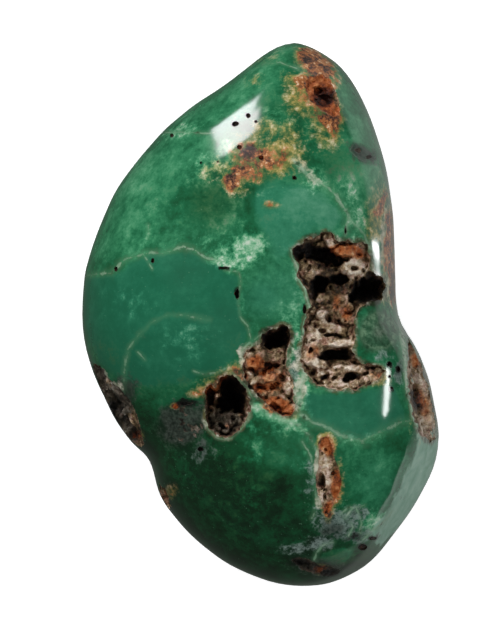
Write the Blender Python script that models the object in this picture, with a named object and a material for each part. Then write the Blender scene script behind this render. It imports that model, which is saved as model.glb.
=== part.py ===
"""A polished chrysoprase freeform: one solid piece of stone, lying on its ground and polished back.

Seen from above, with +Y towards the narrow end, it has a kidney outline and a domed upper face. Vugs open
where the green chalcedony gives way to iron-stained matrix. Lengths are in millimetres, and MM turns them
into Blender's metres. +X is the side with the waist, and Z is the height above the rest face.
"""

import math

import bmesh
import bpy
import numpy as np
from mathutils import Matrix, Vector, noise
from mathutils.bvhtree import BVHTree

MM = 0.001

# Driving dimensions of the whole stone
LENGTH = 60.0
WIDTH = 39.4
THICKNESS = 24.5
GIRDLE = 9.5  # height of the widest contour
GROUND_OFF = 0.8  # thickness that grinding took from the back, which left the rest face
CAGE_CUTS = 17  # cuts along each edge of the cube that the stone is shaped from

# The widest contour, anticlockwise from the waist
OUTLINE = [
    (15.5, -1.4), (15.1, 0.0), (14.9, 1.6), (14.8, 4.9), (14.7, 8.2), (14.5, 11.5), (13.6, 16.9), (11.7, 22.6),
    (9.9, 25.9), (8.5, 27.6), (6.4, 29.0), (4.6, 29.8), (3.2, 30.0), (1.3, 29.3), (-0.7, 27.9), (-3.9, 25.4),
    (-7.8, 22.8), (-11.5, 19.5), (-15.6, 14.4), (-17.3, 11.0), (-18.6, 7.7), (-19.5, 4.4), (-19.8, 0.5),
    (-19.7, -2.3), (-18.9, -5.6), (-17.5, -8.9), (-15.8, -12.2), (-13.9, -14.6), (-12.5, -15.9), (-11.9, -17.4),
    (-11.6, -18.9), (-10.9, -20.5), (-9.7, -22.3), (-8.0, -24.2), (-6.0, -26.0), (-3.7, -27.6), (-1.0, -28.9),
    (1.8, -29.8), (4.6, -30.1), (7.3, -29.8), (9.9, -28.8), (12.4, -27.1), (14.6, -24.4), (16.9, -21.2),
    (19.0, -17.2), (19.6, -14.8), (19.6, -12.8), (19.2, -10.3), (18.4, -6.8), (17.2, -3.9), (16.2, -2.2),
]  # fmt: skip
OUTLINE_WAVES = 34  # the finest bend of the contour, in waves a turn
SOFT_WAVES = 4  # the finest bend that still shows on top of the dome

# How square the section is, from 2, a plain ellipse, at each eighth of a turn from +X anticlockwise
UPPER_SQUARENESS = [3.2, 2.8, 2.4, 2.3, 2.4, 2.5, 2.6, 3.5]
LOWER_SQUARENESS = [2.7, 2.5, 2.4, 2.5, 2.6, 2.5, 2.4, 2.7]
SQUARENESS_WAVES = 3

# The shoulder of the wide end: how far in from the contour the side facet meets the face, in each direction
SHOULDER = [(-95, 0.0), (-80, 0.8), (-68, 1.8), (-58, 2.4), (-50, 2.7), (-40, 2.6), (-28, 2.5), (-20, 2.0), (-13, 1.3),
            (-5, 0.1), (0, 0.0)]  # fmt: skip
SHOULDER_WAVES = 16
FACET_RISE = 8.6  # height of the side facet, from the widest contour to the shoulder
FACET_BEND = 0.14  # share of the facet over which it bends away from upright
SHOULDER_ROUND = 0.7
LEAST_INSET = 0.6  # below this inset the facet fades into the plain section

# Soft swells and hollows of the upper face: x, y, height, spread
SWELLS = [
    (-10.5, 0.5, 0.9, 6.5),
    (-1.2, -20.5, 0.7, 6.5),
    (11.0, -11.5, 0.6, 3.5),
    (7.0, 18.5, 0.5, 5.0),
    (-8.3, -12.2, -1.0, 3.6),
    (9.3, 1.6, -0.8, 4.5),
    (-5.5, 9.0, -0.4, 4.0),
]

# Vugs of the upper face: outline, and the depth of their rough floor
VUGS = {
    "great_vug": (
        [
            (3.4, 7.1), (5.4, 8.3), (7.5, 9.0), (8.7, 8.3), (10.1, 8.0), (11.4, 7.7), (11.9, 6.5), (12.1, 4.9),
            (13.4, 4.0), (13.6, 2.0), (12.7, 1.4), (10.7, 0.9), (10.1, -0.4), (10.1, -2.3), (9.8, -3.7),
            (10.1, -4.8), (11.2, -5.5), (13.8, -5.7), (14.5, -6.4), (13.2, -7.6), (10.4, -8.1), (8.2, -8.2),
            (6.4, -7.7), (5.4, -6.8), (4.4, -5.6), (4.3, -4.1), (4.7, -1.5), (5.0, 0.1), (5.4, 1.2), (5.1, 2.2),
            (4.7, 3.3), (4.0, 4.1), (3.9, 5.8),
        ],
        1.8,
    ),
    "rust_vug": (
        [
            (-1.9, -4.8), (-1.3, -3.9), (0.2, -2.8), (0.3, -2.0), (1.6, -1.7), (2.9, -1.4), (3.4, -2.3),
            (3.0, -3.7), (2.7, -4.8), (2.8, -6.1), (3.5, -7.2), (3.5, -9.0), (4.0, -10.6), (2.5, -11.1),
            (0.8, -10.1), (-0.6, -8.8), (-1.5, -7.7), (-2.2, -6.5),
        ],
        0.9,
    ),
    "round_vug": (
        [
            (-4.4, -6.9), (-3.3, -6.6), (-2.4, -7.1), (-1.5, -8.3), (-1.2, -9.6), (-1.3, -10.9), (-1.9, -12.3),
            (-2.8, -13.2), (-4.1, -13.5), (-5.0, -13.1), (-5.7, -12.0), (-5.9, -10.4), (-6.0, -8.5), (-5.4, -8.0),
            (-4.5, -8.0),
        ],
        1.6,
    ),
    "grey_hollow": (
        [(-11.3, -11.7), (-10.8, -10.3), (-9.1, -9.4), (-7.5, -9.3), (-6.3, -9.9), (-6.4, -13.4), (-8.0, -14.4),
         (-10.0, -13.9)],
        0.25,
    ),
    "tip_vug": (
        [(3.5, 25.5), (4.7, 26.3), (6.3, 26.2), (7.5, 25.3), (8.3, 24.0), (8.7, 22.6), (8.3, 21.4), (7.3, 21.5),
         (6.4, 22.3), (5.2, 22.9), (4.0, 23.6), (3.5, 24.5)],
        0.8,
    ),
    "crack_vug": (
        [(6.4, -14.0), (7.2, -13.4), (7.8, -14.5), (8.2, -15.9), (8.9, -17.2), (8.8, -18.8), (8.2, -20.1),
         (7.7, -21.8), (6.8, -22.2), (6.6, -20.5), (6.1, -19.2), (6.2, -17.2), (6.5, -15.5)],
        0.7,
    ),
    "dark_vug": (
        [(9.7, 17.9), (10.3, 18.7), (11.6, 18.8), (12.6, 18.0), (12.9, 16.9), (11.6, 16.7), (10.3, 17.2)],
        0.5,
    ),
    "foot_vug": (
        [(3.3, -26.8), (4.7, -26.7), (6.4, -27.2), (8.6, -27.7), (9.1, -28.5), (7.7, -28.9), (5.7, -28.5),
         (4.1, -27.8)],
        0.5,
    ),
}  # fmt: skip

# Round pits of the upper face: x, y, radius, depth below the skin
PITS = [
    (5.8, 6.4, 1.9, 4.8), (7.3, 3.3, 2.2, 6.4), (8.8, 4.6, 1.6, 4.2), (12.1, 2.8, 1.3, 7.0), (10.6, 2.3, 1.4, 5.6),
    (4.9, 4.7, 0.9, 2.8), (7.2, -0.8, 1.3, 3.6), (8.9, -4.5, 1.1, 4.4), (7.3, -4.6, 1.0, 4.0), (6.7, -6.8, 0.8, 2.8),
    (10.0, -6.9, 0.9, 3.2), (12.5, -6.5, 0.7, 2.6), (5.3, -2.9, 0.6, 2.6), (5.3, -5.0, 0.6, 2.6),
    (1.8, -2.5, 1.2, 3.6), (0.4, -6.3, 0.8, 2.4), (1.8, -8.3, 0.8, 2.4), (1.4, -4.8, 0.7, 2.2),
    (-2.9, -8.4, 1.5, 6.0), (-2.5, -10.0, 1.4, 4.8), (-5.3, -8.6, 0.6, 2.6), (-4.1, -11.6, 1.4, 3.0),
    (4.5, 25.5, 0.5, 1.8), (6.4, 24.4, 0.8, 2.6), (7.6, 23.1, 0.8, 2.8),
    (6.6, -18.1, 0.6, 2.0), (7.0, -19.8, 0.4, 1.4), (7.9, -17.9, 0.5, 1.4),
    (4.1, -27.2, 0.7, 1.8), (7.8, -28.2, 0.7, 1.8), (11.1, -25.4, 0.5, 1.2), (-8.2, -9.7, 0.5, 1.2),
    (-2.5, 2.2, 0.45, 1.5), (-15.8, 5.0, 0.35, 1.0), (-11.9, 5.9, 0.4, 1.1), (-4.0, 5.1, 0.35, 0.9),
    (14.1, -5.5, 0.35, 0.9), (15.0, -6.1, 0.35, 0.9), (-2.8, 20.9, 0.42, 0.9), (-1.4, 21.8, 0.35, 0.8),
]  # fmt: skip

# Lumps of matrix left standing in the vugs: x, y, height of the top below the skin, half sizes
LUMPS = [
    (9.6, 6.9, 0.5, (1.7, 0.8, 1.6)),
    (11.0, 5.0, 0.5, (1.1, 1.2, 2.6)),
    (8.9, 1.6, 2.2, (1.5, 1.2, 2.0)),
    (8.6, -1.0, 1.2, (1.2, 1.3, 2.2)),
    (8.6, -3.2, 0.7, (1.7, 0.6, 1.6)),
    (4.9, 3.4, 1.0, (0.7, 1.1, 1.6)),
    (6.6, -0.2, 0.8, (0.6, 0.6, 1.4)),
    (8.4, -6.2, 0.6, (0.9, 0.6, 1.2)),
    (11.4, -6.3, 0.5, (0.8, 0.5, 1.2)),
]

# Cavities of the sides and the back, as rows of lumpy hollows: centre, half sizes
SIDE_HOLLOWS = [
    # the long rusty cavity under the shoulder of the wide end
    ((16.6, -4.9, 15.4), (1.5, 2.0, 2.6)),
    ((17.8, -7.6, 15.0), (1.9, 2.5, 3.2)),
    ((18.6, -10.6, 14.5), (1.9, 2.4, 3.0)),
    # the rough ledge along the left edge
    ((-17.8, -7.5, 14.2), (1.5, 2.2, 2.6)),
    ((-16.6, -10.1, 14.0), (1.7, 2.5, 3.0)),
    ((-14.9, -13.0, 13.7), (1.6, 2.2, 2.8)),
    ((-10.7, -19.9, 13.0), (1.0, 1.5, 2.0)),
    # the rusty seam of the waist
    ((15.6, 9.8, 12.6), (1.0, 1.6, 2.2)),
    ((15.8, 6.2, 12.2), (1.0, 2.0, 2.0)),
    ((15.9, 3.2, 12.6), (1.0, 1.4, 1.8)),
    # pockets that the upper face doesn't show
    ((-17.6, 9.4, 5.6), (1.6, 2.2, 1.8)),
    ((-16.6, 12.6, 5.0), (1.1, 1.6, 1.3)),
    ((4.4, -29.0, 4.8), (2.3, 1.3, 1.6)),
    ((7.6, 27.6, 5.0), (1.7, 1.5, 1.5)),
    ((15.4, -21.6, 3.6), (1.7, 2.0, 1.5)),
    ((4.6, -8.6, -0.2), (2.2, 1.5, 1.5)),
    ((6.8, -7.4, 0.1), (1.4, 1.1, 1.2)),
]

LUMPINESS = 0.44  # how far a hollow's wall wanders, as a share of its radius
LUMP_SPAN = 0.77  # and over how much of its radius one bulge of it reaches
FLOOR_ROUGHNESS = 1.0  # how far a vug's floor wanders, as a share of its depth
FLOOR_BUMP = 1.1  # width of one bump of the floor
FLOOR_STEP = 1.7  # the longest edge left on a vug's floor
CLEARANCE = 2.0  # how far a vug's cutter stands out of the skin
PIT_MOUTH = 0.6  # how far a pit's cutter stands out, as a share of its radius
FINE_RADIUS = 0.85  # pits wider than this have finer facets
CURVE_STEPS = 16  # points that round off the contour between two given ones
ANGLE_STEPS = 360
SHOULDER_STEPS = 72
ROUNDING_RUN = 0.33  # share of the dome's height over which the shoulder's rounding grows in
CREASE_ANGLE = math.radians(35)


def clear_scene():
    for thing in list(bpy.data.objects):
        bpy.data.objects.remove(thing)


def rounded_loop(points, steps):
    """Points along a closed Catmull-Rom curve through the given ones."""
    ring = np.array(points, float)
    before, after = np.roll(ring, 1, axis=0), np.roll(ring, -1, axis=0)
    later = np.roll(ring, -2, axis=0)
    curve = []
    for t in np.arange(steps) / steps:
        curve.append(
            0.5
            * (
                2 * ring
                + (after - before) * t
                + (2 * before - 5 * ring + 4 * after - later) * t**2
                + (3 * ring - before - 3 * after + later) * t**3
            )
        )
    return np.stack(curve, axis=1).reshape(-1, 2)


def smooth_wave(samples, waves):
    """A function of the angle through evenly spaced samples, with no bend finer than so many waves a turn."""
    strengths = np.fft.rfft(samples)[: waves + 1] / len(samples)
    strengths[1:] *= 2
    orders = np.arange(waves + 1)

    def value(angle):
        return (strengths * np.exp(1j * np.multiply.outer(angle, orders))).real.sum(axis=-1)

    return value


def plan_radius():
    """The radius of the widest contour at even steps of the angle."""
    curve = rounded_loop(OUTLINE, CURVE_STEPS)
    angles = np.arctan2(curve[:, 1], curve[:, 0])
    even = np.linspace(0, 2 * math.pi, ANGLE_STEPS, endpoint=False)
    return np.interp(even, angles, np.hypot(*curve.T), period=2 * math.pi)


def shoulder_inset():
    """How far in the shoulder lies, at even steps of the angle."""
    degrees, insets = np.array(SHOULDER).T
    return np.interp(np.linspace(0, 360, SHOULDER_STEPS, endpoint=False), degrees, insets, period=360)


def skin_points(directions):
    """Where points of the unit sphere, given as rows, go on the stone's skin, in millimetres."""
    radii = plan_radius()
    exact, soft = smooth_wave(radii, OUTLINE_WAVES), smooth_wave(radii, SOFT_WAVES)
    square_above = smooth_wave(UPPER_SQUARENESS, SQUARENESS_WAVES)
    square_below = smooth_wave(LOWER_SQUARENESS, SQUARENESS_WAVES)
    inset = smooth_wave(shoulder_inset(), SHOULDER_WAVES)

    angle = np.arctan2(directions[:, 1] * LENGTH, directions[:, 0] * WIDTH)
    flat, rise = np.hypot(directions[:, 0], directions[:, 1]), np.abs(directions[:, 2])
    upper = directions[:, 2] > 0
    power = np.where(upper, square_above(angle), square_below(angle))
    reach = (flat**power + rise**power) ** (-1 / power)
    out, up = flat * reach, rise * reach
    edge = exact(angle)
    radius = out * (edge * (1 - up**2) + soft(angle) * up**2)
    x, y = radius * np.cos(angle), radius * np.sin(angle)

    dome = GIRDLE + up * (THICKNESS - GIRDLE)
    for cx, cy, height, spread in SWELLS:
        dome += up * height * np.exp(-((x - cx) ** 2 + (y - cy) ** 2) / (2 * spread**2))
    way_in = np.maximum(edge - radius, 0) / np.maximum(inset(angle), LEAST_INSET)
    facet = GIRDLE + FACET_RISE * np.sqrt(way_in**2 + 2 * FACET_BEND * way_in)
    rounding = SHOULDER_ROUND * np.minimum(1, up / ROUNDING_RUN)
    lower = (dome + facet - np.hypot(dome - facet, rounding)) / 2
    dome += (lower - dome) * np.clip(inset(angle) / LEAST_INSET, 0, 1)
    underside = GIRDLE - up * (GIRDLE + GROUND_OFF)
    return np.stack([x, y, np.where(upper, dome, underside)], axis=1)


def stretch_to_size(mesh):
    """Scales and centres the skin so that its box has the driving dimensions."""
    places = np.array([v.co for v in mesh.vertices])
    low, high = places.min(axis=0), places.max(axis=0)
    size = np.array([WIDTH, LENGTH, THICKNESS + GROUND_OFF]) * MM
    middle = (low + high) / 2
    target = Vector((0, 0, (THICKNESS - GROUND_OFF) / 2 * MM))
    mesh.transform(
        Matrix.Translation(target)
        @ Matrix.Diagonal((*(size / (high - low)), 1))
        @ Matrix.Translation(Vector(-middle))
    )


def make_skin():
    """The polished outside with no vugs, from a cube blown up to a sphere and drawn out to the stone's form."""
    bpy.ops.mesh.primitive_cube_add(size=1)
    stone = bpy.context.object
    stone.name = "chrysoprase_stone"
    bpy.ops.object.mode_set(mode="EDIT")
    bpy.ops.mesh.subdivide(number_cuts=CAGE_CUTS)
    bpy.ops.transform.tosphere(value=1)
    bpy.ops.object.mode_set(mode="OBJECT")
    directions = np.array([v.co.normalized() for v in stone.data.vertices])
    for vertex, place in zip(stone.data.vertices, skin_points(directions)):
        vertex.co = Vector(place) * MM
    stretch_to_size(stone.data)
    return stone


def height_finder(skin):
    """A function of x and y that gives the height of the upper face, in millimetres."""
    tree = BVHTree.FromObject(skin, bpy.context.evaluated_depsgraph_get())

    def height(x, y):
        hit = tree.ray_cast(Vector((x, y, 2 * THICKNESS)) * MM, Vector((0, 0, -1)))[0]
        return hit.z / MM if hit else GIRDLE

    return height


def wander(point, scale):
    """Smooth noise from -1 to 1 that changes over about scale millimetres."""
    return noise.noise(Vector(point) / scale)


def add_helper(name, shape, group):
    """A hidden object for a Boolean, made from a bmesh in millimetres."""
    mesh = bpy.data.meshes.new(name)
    bmesh.ops.recalc_face_normals(shape, faces=shape.faces)
    shape.to_mesh(mesh)
    shape.free()
    mesh.transform(Matrix.Scale(MM, 4))
    helper = bpy.data.objects.new(name, mesh)
    helper.hide_render = True
    helper.display_type = "WIRE"
    group.objects.link(helper)


def vug_cutter(name, outline, depth, height, group):
    """A plug of the vug's outline. Its floor follows the skin at the vug's depth, and is rough."""
    shape = bmesh.new()
    shape.faces.new([shape.verts.new((x, y, 0)) for x, y in outline])
    bmesh.ops.triangulate(shape, faces=shape.faces)
    for _ in range(2):
        inner = [e for e in shape.edges if not e.is_boundary and e.calc_length() > FLOOR_STEP]
        bmesh.ops.subdivide_edges(shape, edges=inner, cuts=1)
        bmesh.ops.triangulate(shape, faces=shape.faces)
        bmesh.ops.beautify_fill(shape, faces=shape.faces, edges=[e for e in shape.edges if not e.is_boundary])
    made = bmesh.ops.extrude_face_region(shape, geom=shape.faces[:])
    lid = {v for v in made["geom"] if isinstance(v, bmesh.types.BMVert)}
    for vertex in shape.verts:
        x, y, _ = vertex.co
        if vertex in lid:
            vertex.co.z = height(x, y) + CLEARANCE
        else:
            rough = 1 + FLOOR_ROUGHNESS * wander((x, y, depth), FLOOR_BUMP)
            vertex.co.z = height(x, y) - depth * rough
    add_helper(name, shape, group)


def lumpy_ball(centre, half_sizes, detail=2):
    shape = bmesh.new()
    bmesh.ops.create_icosphere(shape, subdivisions=detail, radius=1)
    for vertex in shape.verts:
        swell = 1 + LUMPINESS * wander(vertex.co + Vector(centre) * LUMP_SPAN, LUMP_SPAN)
        vertex.co = Vector(a * b for a, b in zip(vertex.co * swell, half_sizes)) + Vector(centre)
    return shape


def pit_cutter(name, pit, height, group):
    """A hollow as wide as the pit that stands out of the skin, so that it cuts a pit of the depth below it."""
    x, y, radius, depth = pit
    top, bottom = height(x, y) + radius * PIT_MOUTH, height(x, y) - depth
    centre, half = (x, y, (top + bottom) / 2), (radius, radius, (top - bottom) / 2)
    add_helper(name, lumpy_ball(centre, half, 2 if radius > FINE_RADIUS else 1), group)


def lump(name, place, height, group):
    x, y, below, half = place
    centre = (x, y, height(x, y) - below - half[2])
    add_helper(name, lumpy_ball(centre, half), group)


def new_group(name):
    group = bpy.data.collections.new(name)
    group.hide_render = True
    bpy.context.scene.collection.children.link(group)
    return group


def carve(stone, operation, group):
    step = stone.modifiers.new(group.name, "BOOLEAN")
    step.operation = operation
    step.operand_type = "COLLECTION"
    step.collection = group
    step.solver = "EXACT"


def make_vugs(stone, height):
    """Cuts the vugs and pits, leaves the lumps standing in them, and opens the hollows of the sides."""
    floors, lumps, hollows = new_group("vug_floors"), new_group("matrix_lumps"), new_group("hollows")
    for name, (outline, depth) in VUGS.items():
        vug_cutter(name, outline, depth, height, floors)
    for number, pit in enumerate(PITS):
        pit_cutter(f"pit_{number}", pit, height, floors)
    for number, place in enumerate(LUMPS):
        lump(f"lump_{number}", place, height, lumps)
    for number, (centre, half) in enumerate(SIDE_HOLLOWS):
        add_helper(f"hollow_{number}", lumpy_ball(centre, half), hollows)
    carve(stone, "DIFFERENCE", floors)
    carve(stone, "UNION", lumps)
    carve(stone, "DIFFERENCE", hollows)


def grind_back(stone):
    """Cuts the underside off flat at the rest face."""
    bpy.ops.object.select_all(action="DESELECT")
    stone.select_set(True)
    bpy.context.view_layer.objects.active = stone
    for step in list(stone.modifiers):
        bpy.ops.object.modifier_apply(modifier=step.name)
    shape = bmesh.new()
    shape.from_mesh(stone.data)
    everything = [*shape.verts, *shape.edges, *shape.faces]
    cut = bmesh.ops.bisect_plane(
        shape, geom=everything, dist=1e-7, plane_co=(0, 0, 0), plane_no=(0, 0, -1), clear_outer=True
    )
    edges = [e for e in cut["geom_cut"] if isinstance(e, bmesh.types.BMEdge)]
    bmesh.ops.triangle_fill(shape, edges=edges, use_beauty=True, use_dissolve=False, normal=(0, 0, -1))
    bmesh.ops.recalc_face_normals(shape, faces=shape.faces)
    shape.to_mesh(stone.data)
    shape.free()
    stone.data.shade_smooth()
    stone.data.set_sharp_from_angle(angle=CREASE_ANGLE)


def chrysoprase():
    """Polished green chalcedony."""
    material = bpy.data.materials.new("chrysoprase")
    material.use_nodes = True
    shader = material.node_tree.nodes["Principled BSDF"]
    shader.inputs["Base Color"].default_value = (0.03, 0.22, 0.10, 1)
    shader.inputs["Roughness"].default_value = 0.15
    shader.inputs["Metallic"].default_value = 0.0
    return material


def main():
    clear_scene()
    stone = make_skin()
    stone.data.materials.append(chrysoprase())
    make_vugs(stone, height_finder(stone))
    grind_back(stone)


main()
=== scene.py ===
"""The finished look of a polished chrysoprase freeform that lies on its ground back.

The stone is modelled again on the form of its solid, fine enough for the rims and crusts of its vugs, and gets
one material: polished green chalcedony with veins, clouds and stains, and rough iron-stained matrix where the
vugs open. Lengths are in millimetres, and MM turns them into metres. Marks are placed in the pixels of the
photograph, and to_mm turns those into millimetres.
"""

import math
from contextlib import contextmanager

import bpy
import numpy as np
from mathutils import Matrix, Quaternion, Vector, noise
from mathutils.bvhtree import BVHTree


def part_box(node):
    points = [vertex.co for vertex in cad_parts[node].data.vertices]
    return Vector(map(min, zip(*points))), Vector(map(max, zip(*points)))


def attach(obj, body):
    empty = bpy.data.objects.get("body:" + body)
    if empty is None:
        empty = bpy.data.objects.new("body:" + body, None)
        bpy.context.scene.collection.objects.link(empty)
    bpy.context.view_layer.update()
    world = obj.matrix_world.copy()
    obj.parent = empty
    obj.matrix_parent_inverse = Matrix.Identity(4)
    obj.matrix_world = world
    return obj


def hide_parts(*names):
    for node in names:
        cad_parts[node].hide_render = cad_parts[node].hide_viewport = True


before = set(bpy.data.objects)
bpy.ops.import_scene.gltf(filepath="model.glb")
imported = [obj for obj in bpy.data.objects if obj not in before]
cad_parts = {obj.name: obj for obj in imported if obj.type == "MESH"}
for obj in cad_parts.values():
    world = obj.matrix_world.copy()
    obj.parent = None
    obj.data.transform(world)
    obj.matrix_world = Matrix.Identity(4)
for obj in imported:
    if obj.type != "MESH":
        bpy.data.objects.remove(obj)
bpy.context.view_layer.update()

MM = 0.001
NODE = "chrysoprase_stone"

# The photograph: its size, the scale of the stone in it, and the pixel over the stone's origin
PHOTO_WIDTH, PHOTO_HEIGHT = 504, 630
PIXEL = 0.1105
ORIGIN_X, ORIGIN_Y = 260.5, 314.5

# The form of the skin, as in the solid
LENGTH = 60.0
WIDTH = 39.4
THICKNESS = 24.5
GIRDLE = 9.5
GROUND_OFF = 0.8
OUTLINE = [
    (15.5, -1.4), (15.1, 0.0), (14.9, 1.6), (14.8, 4.9), (14.7, 8.2), (14.5, 11.5), (13.6, 16.9), (11.7, 22.6),
    (9.9, 25.9), (8.5, 27.6), (6.4, 29.0), (4.6, 29.8), (3.2, 30.0), (1.3, 29.3), (-0.7, 27.9), (-3.9, 25.4),
    (-7.8, 22.8), (-11.5, 19.5), (-15.6, 14.4), (-17.3, 11.0), (-18.6, 7.7), (-19.5, 4.4), (-19.8, 0.5), (-19.7, -2.3),
    (-18.9, -5.6), (-17.5, -8.9), (-15.8, -12.2), (-13.9, -14.6), (-12.5, -15.9), (-11.9, -17.4), (-11.6, -18.9),
    (-10.9, -20.5), (-9.7, -22.3), (-8.0, -24.2), (-6.0, -26.0), (-3.7, -27.6), (-1.0, -28.9), (1.8, -29.8),
    (4.6, -30.1), (7.3, -29.8), (9.9, -28.8), (12.4, -27.1), (14.6, -24.4), (16.9, -21.2), (19.0, -17.2),
    (19.6, -14.8), (19.6, -12.8), (19.2, -10.3), (18.4, -6.8), (17.2, -3.9), (16.2, -2.2),
]
OUTLINE_WAVES = 34
SOFT_WAVES = 4
UPPER_SQUARENESS = [3.2, 2.8, 2.4, 2.3, 2.4, 2.5, 2.6, 3.5]
LOWER_SQUARENESS = [2.7, 2.5, 2.4, 2.5, 2.6, 2.5, 2.4, 2.7]
SQUARENESS_WAVES = 3
SHOULDER = [
    (-95, 0.0), (-80, 0.8), (-68, 1.8), (-58, 2.4), (-50, 2.7), (-40, 2.6), (-28, 2.5), (-20, 2.0), (-13, 1.3),
    (-5, 0.1), (0, 0.0),
]
SHOULDER_WAVES = 16
FACET_RISE = 8.6
FACET_BEND = 0.14
SHOULDER_ROUND = 0.7
LEAST_INSET = 0.6
SWELLS = [
    (-10.5, 0.5, 0.9, 6.5), (-1.2, -20.5, 0.7, 6.5), (11.0, -11.5, 0.6, 3.5), (7.0, 18.5, 0.5, 5.0),
    (-8.3, -12.2, -1.0, 3.6), (9.3, 1.6, -0.8, 4.5), (-5.5, 9.0, -0.4, 4.0),
]
CURVE_STEPS = 16
ANGLE_STEPS = 360
SHOULDER_STEPS = 72
ROUNDING_RUN = 0.33

# Fineness of the mesh
SKIN_CUTS = 43
POLISH_PASSES = 6
VUG_CELL = 0.11
PIT_CELL = 0.06
SHARPEST_SMOOTH = 40  # degrees between faces, past which an edge stays sharp
# How far from the veins and the stains the faces are halved, in photograph pixels, once for each pair
FINE_REACHES = ((9.0, 6.0), (5.0, 1.0), (2.6, -1.0))
# The dark marks among these are partly painted shade, over pits and the vugs' holes.
FINE_MARKS = ("rust", "cream", "grey", "dark")
FINE_LIMIT = 0.3  # stains weaker than this don't need fine faces

# How the vugs are cut
WALL_SLOPE = 4.5  # fall of a vug's wall over its run
RIM_CLEARANCE = 0.35
PLUG_HEIGHT = 9.0  # of the plugs that cut the vugs, above the skin
MATRIX_DEPTH = 0.06  # how far below the skin the polished stone gives way to matrix
LEAST_DEPTH = 0.16  # of the matrix in a vug
PORE_DEPTH = 0.02  # how far below the skin pores are looked for
GROUND_BAND = 0.05  # what lies this near to the rest face counts as skin

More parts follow.
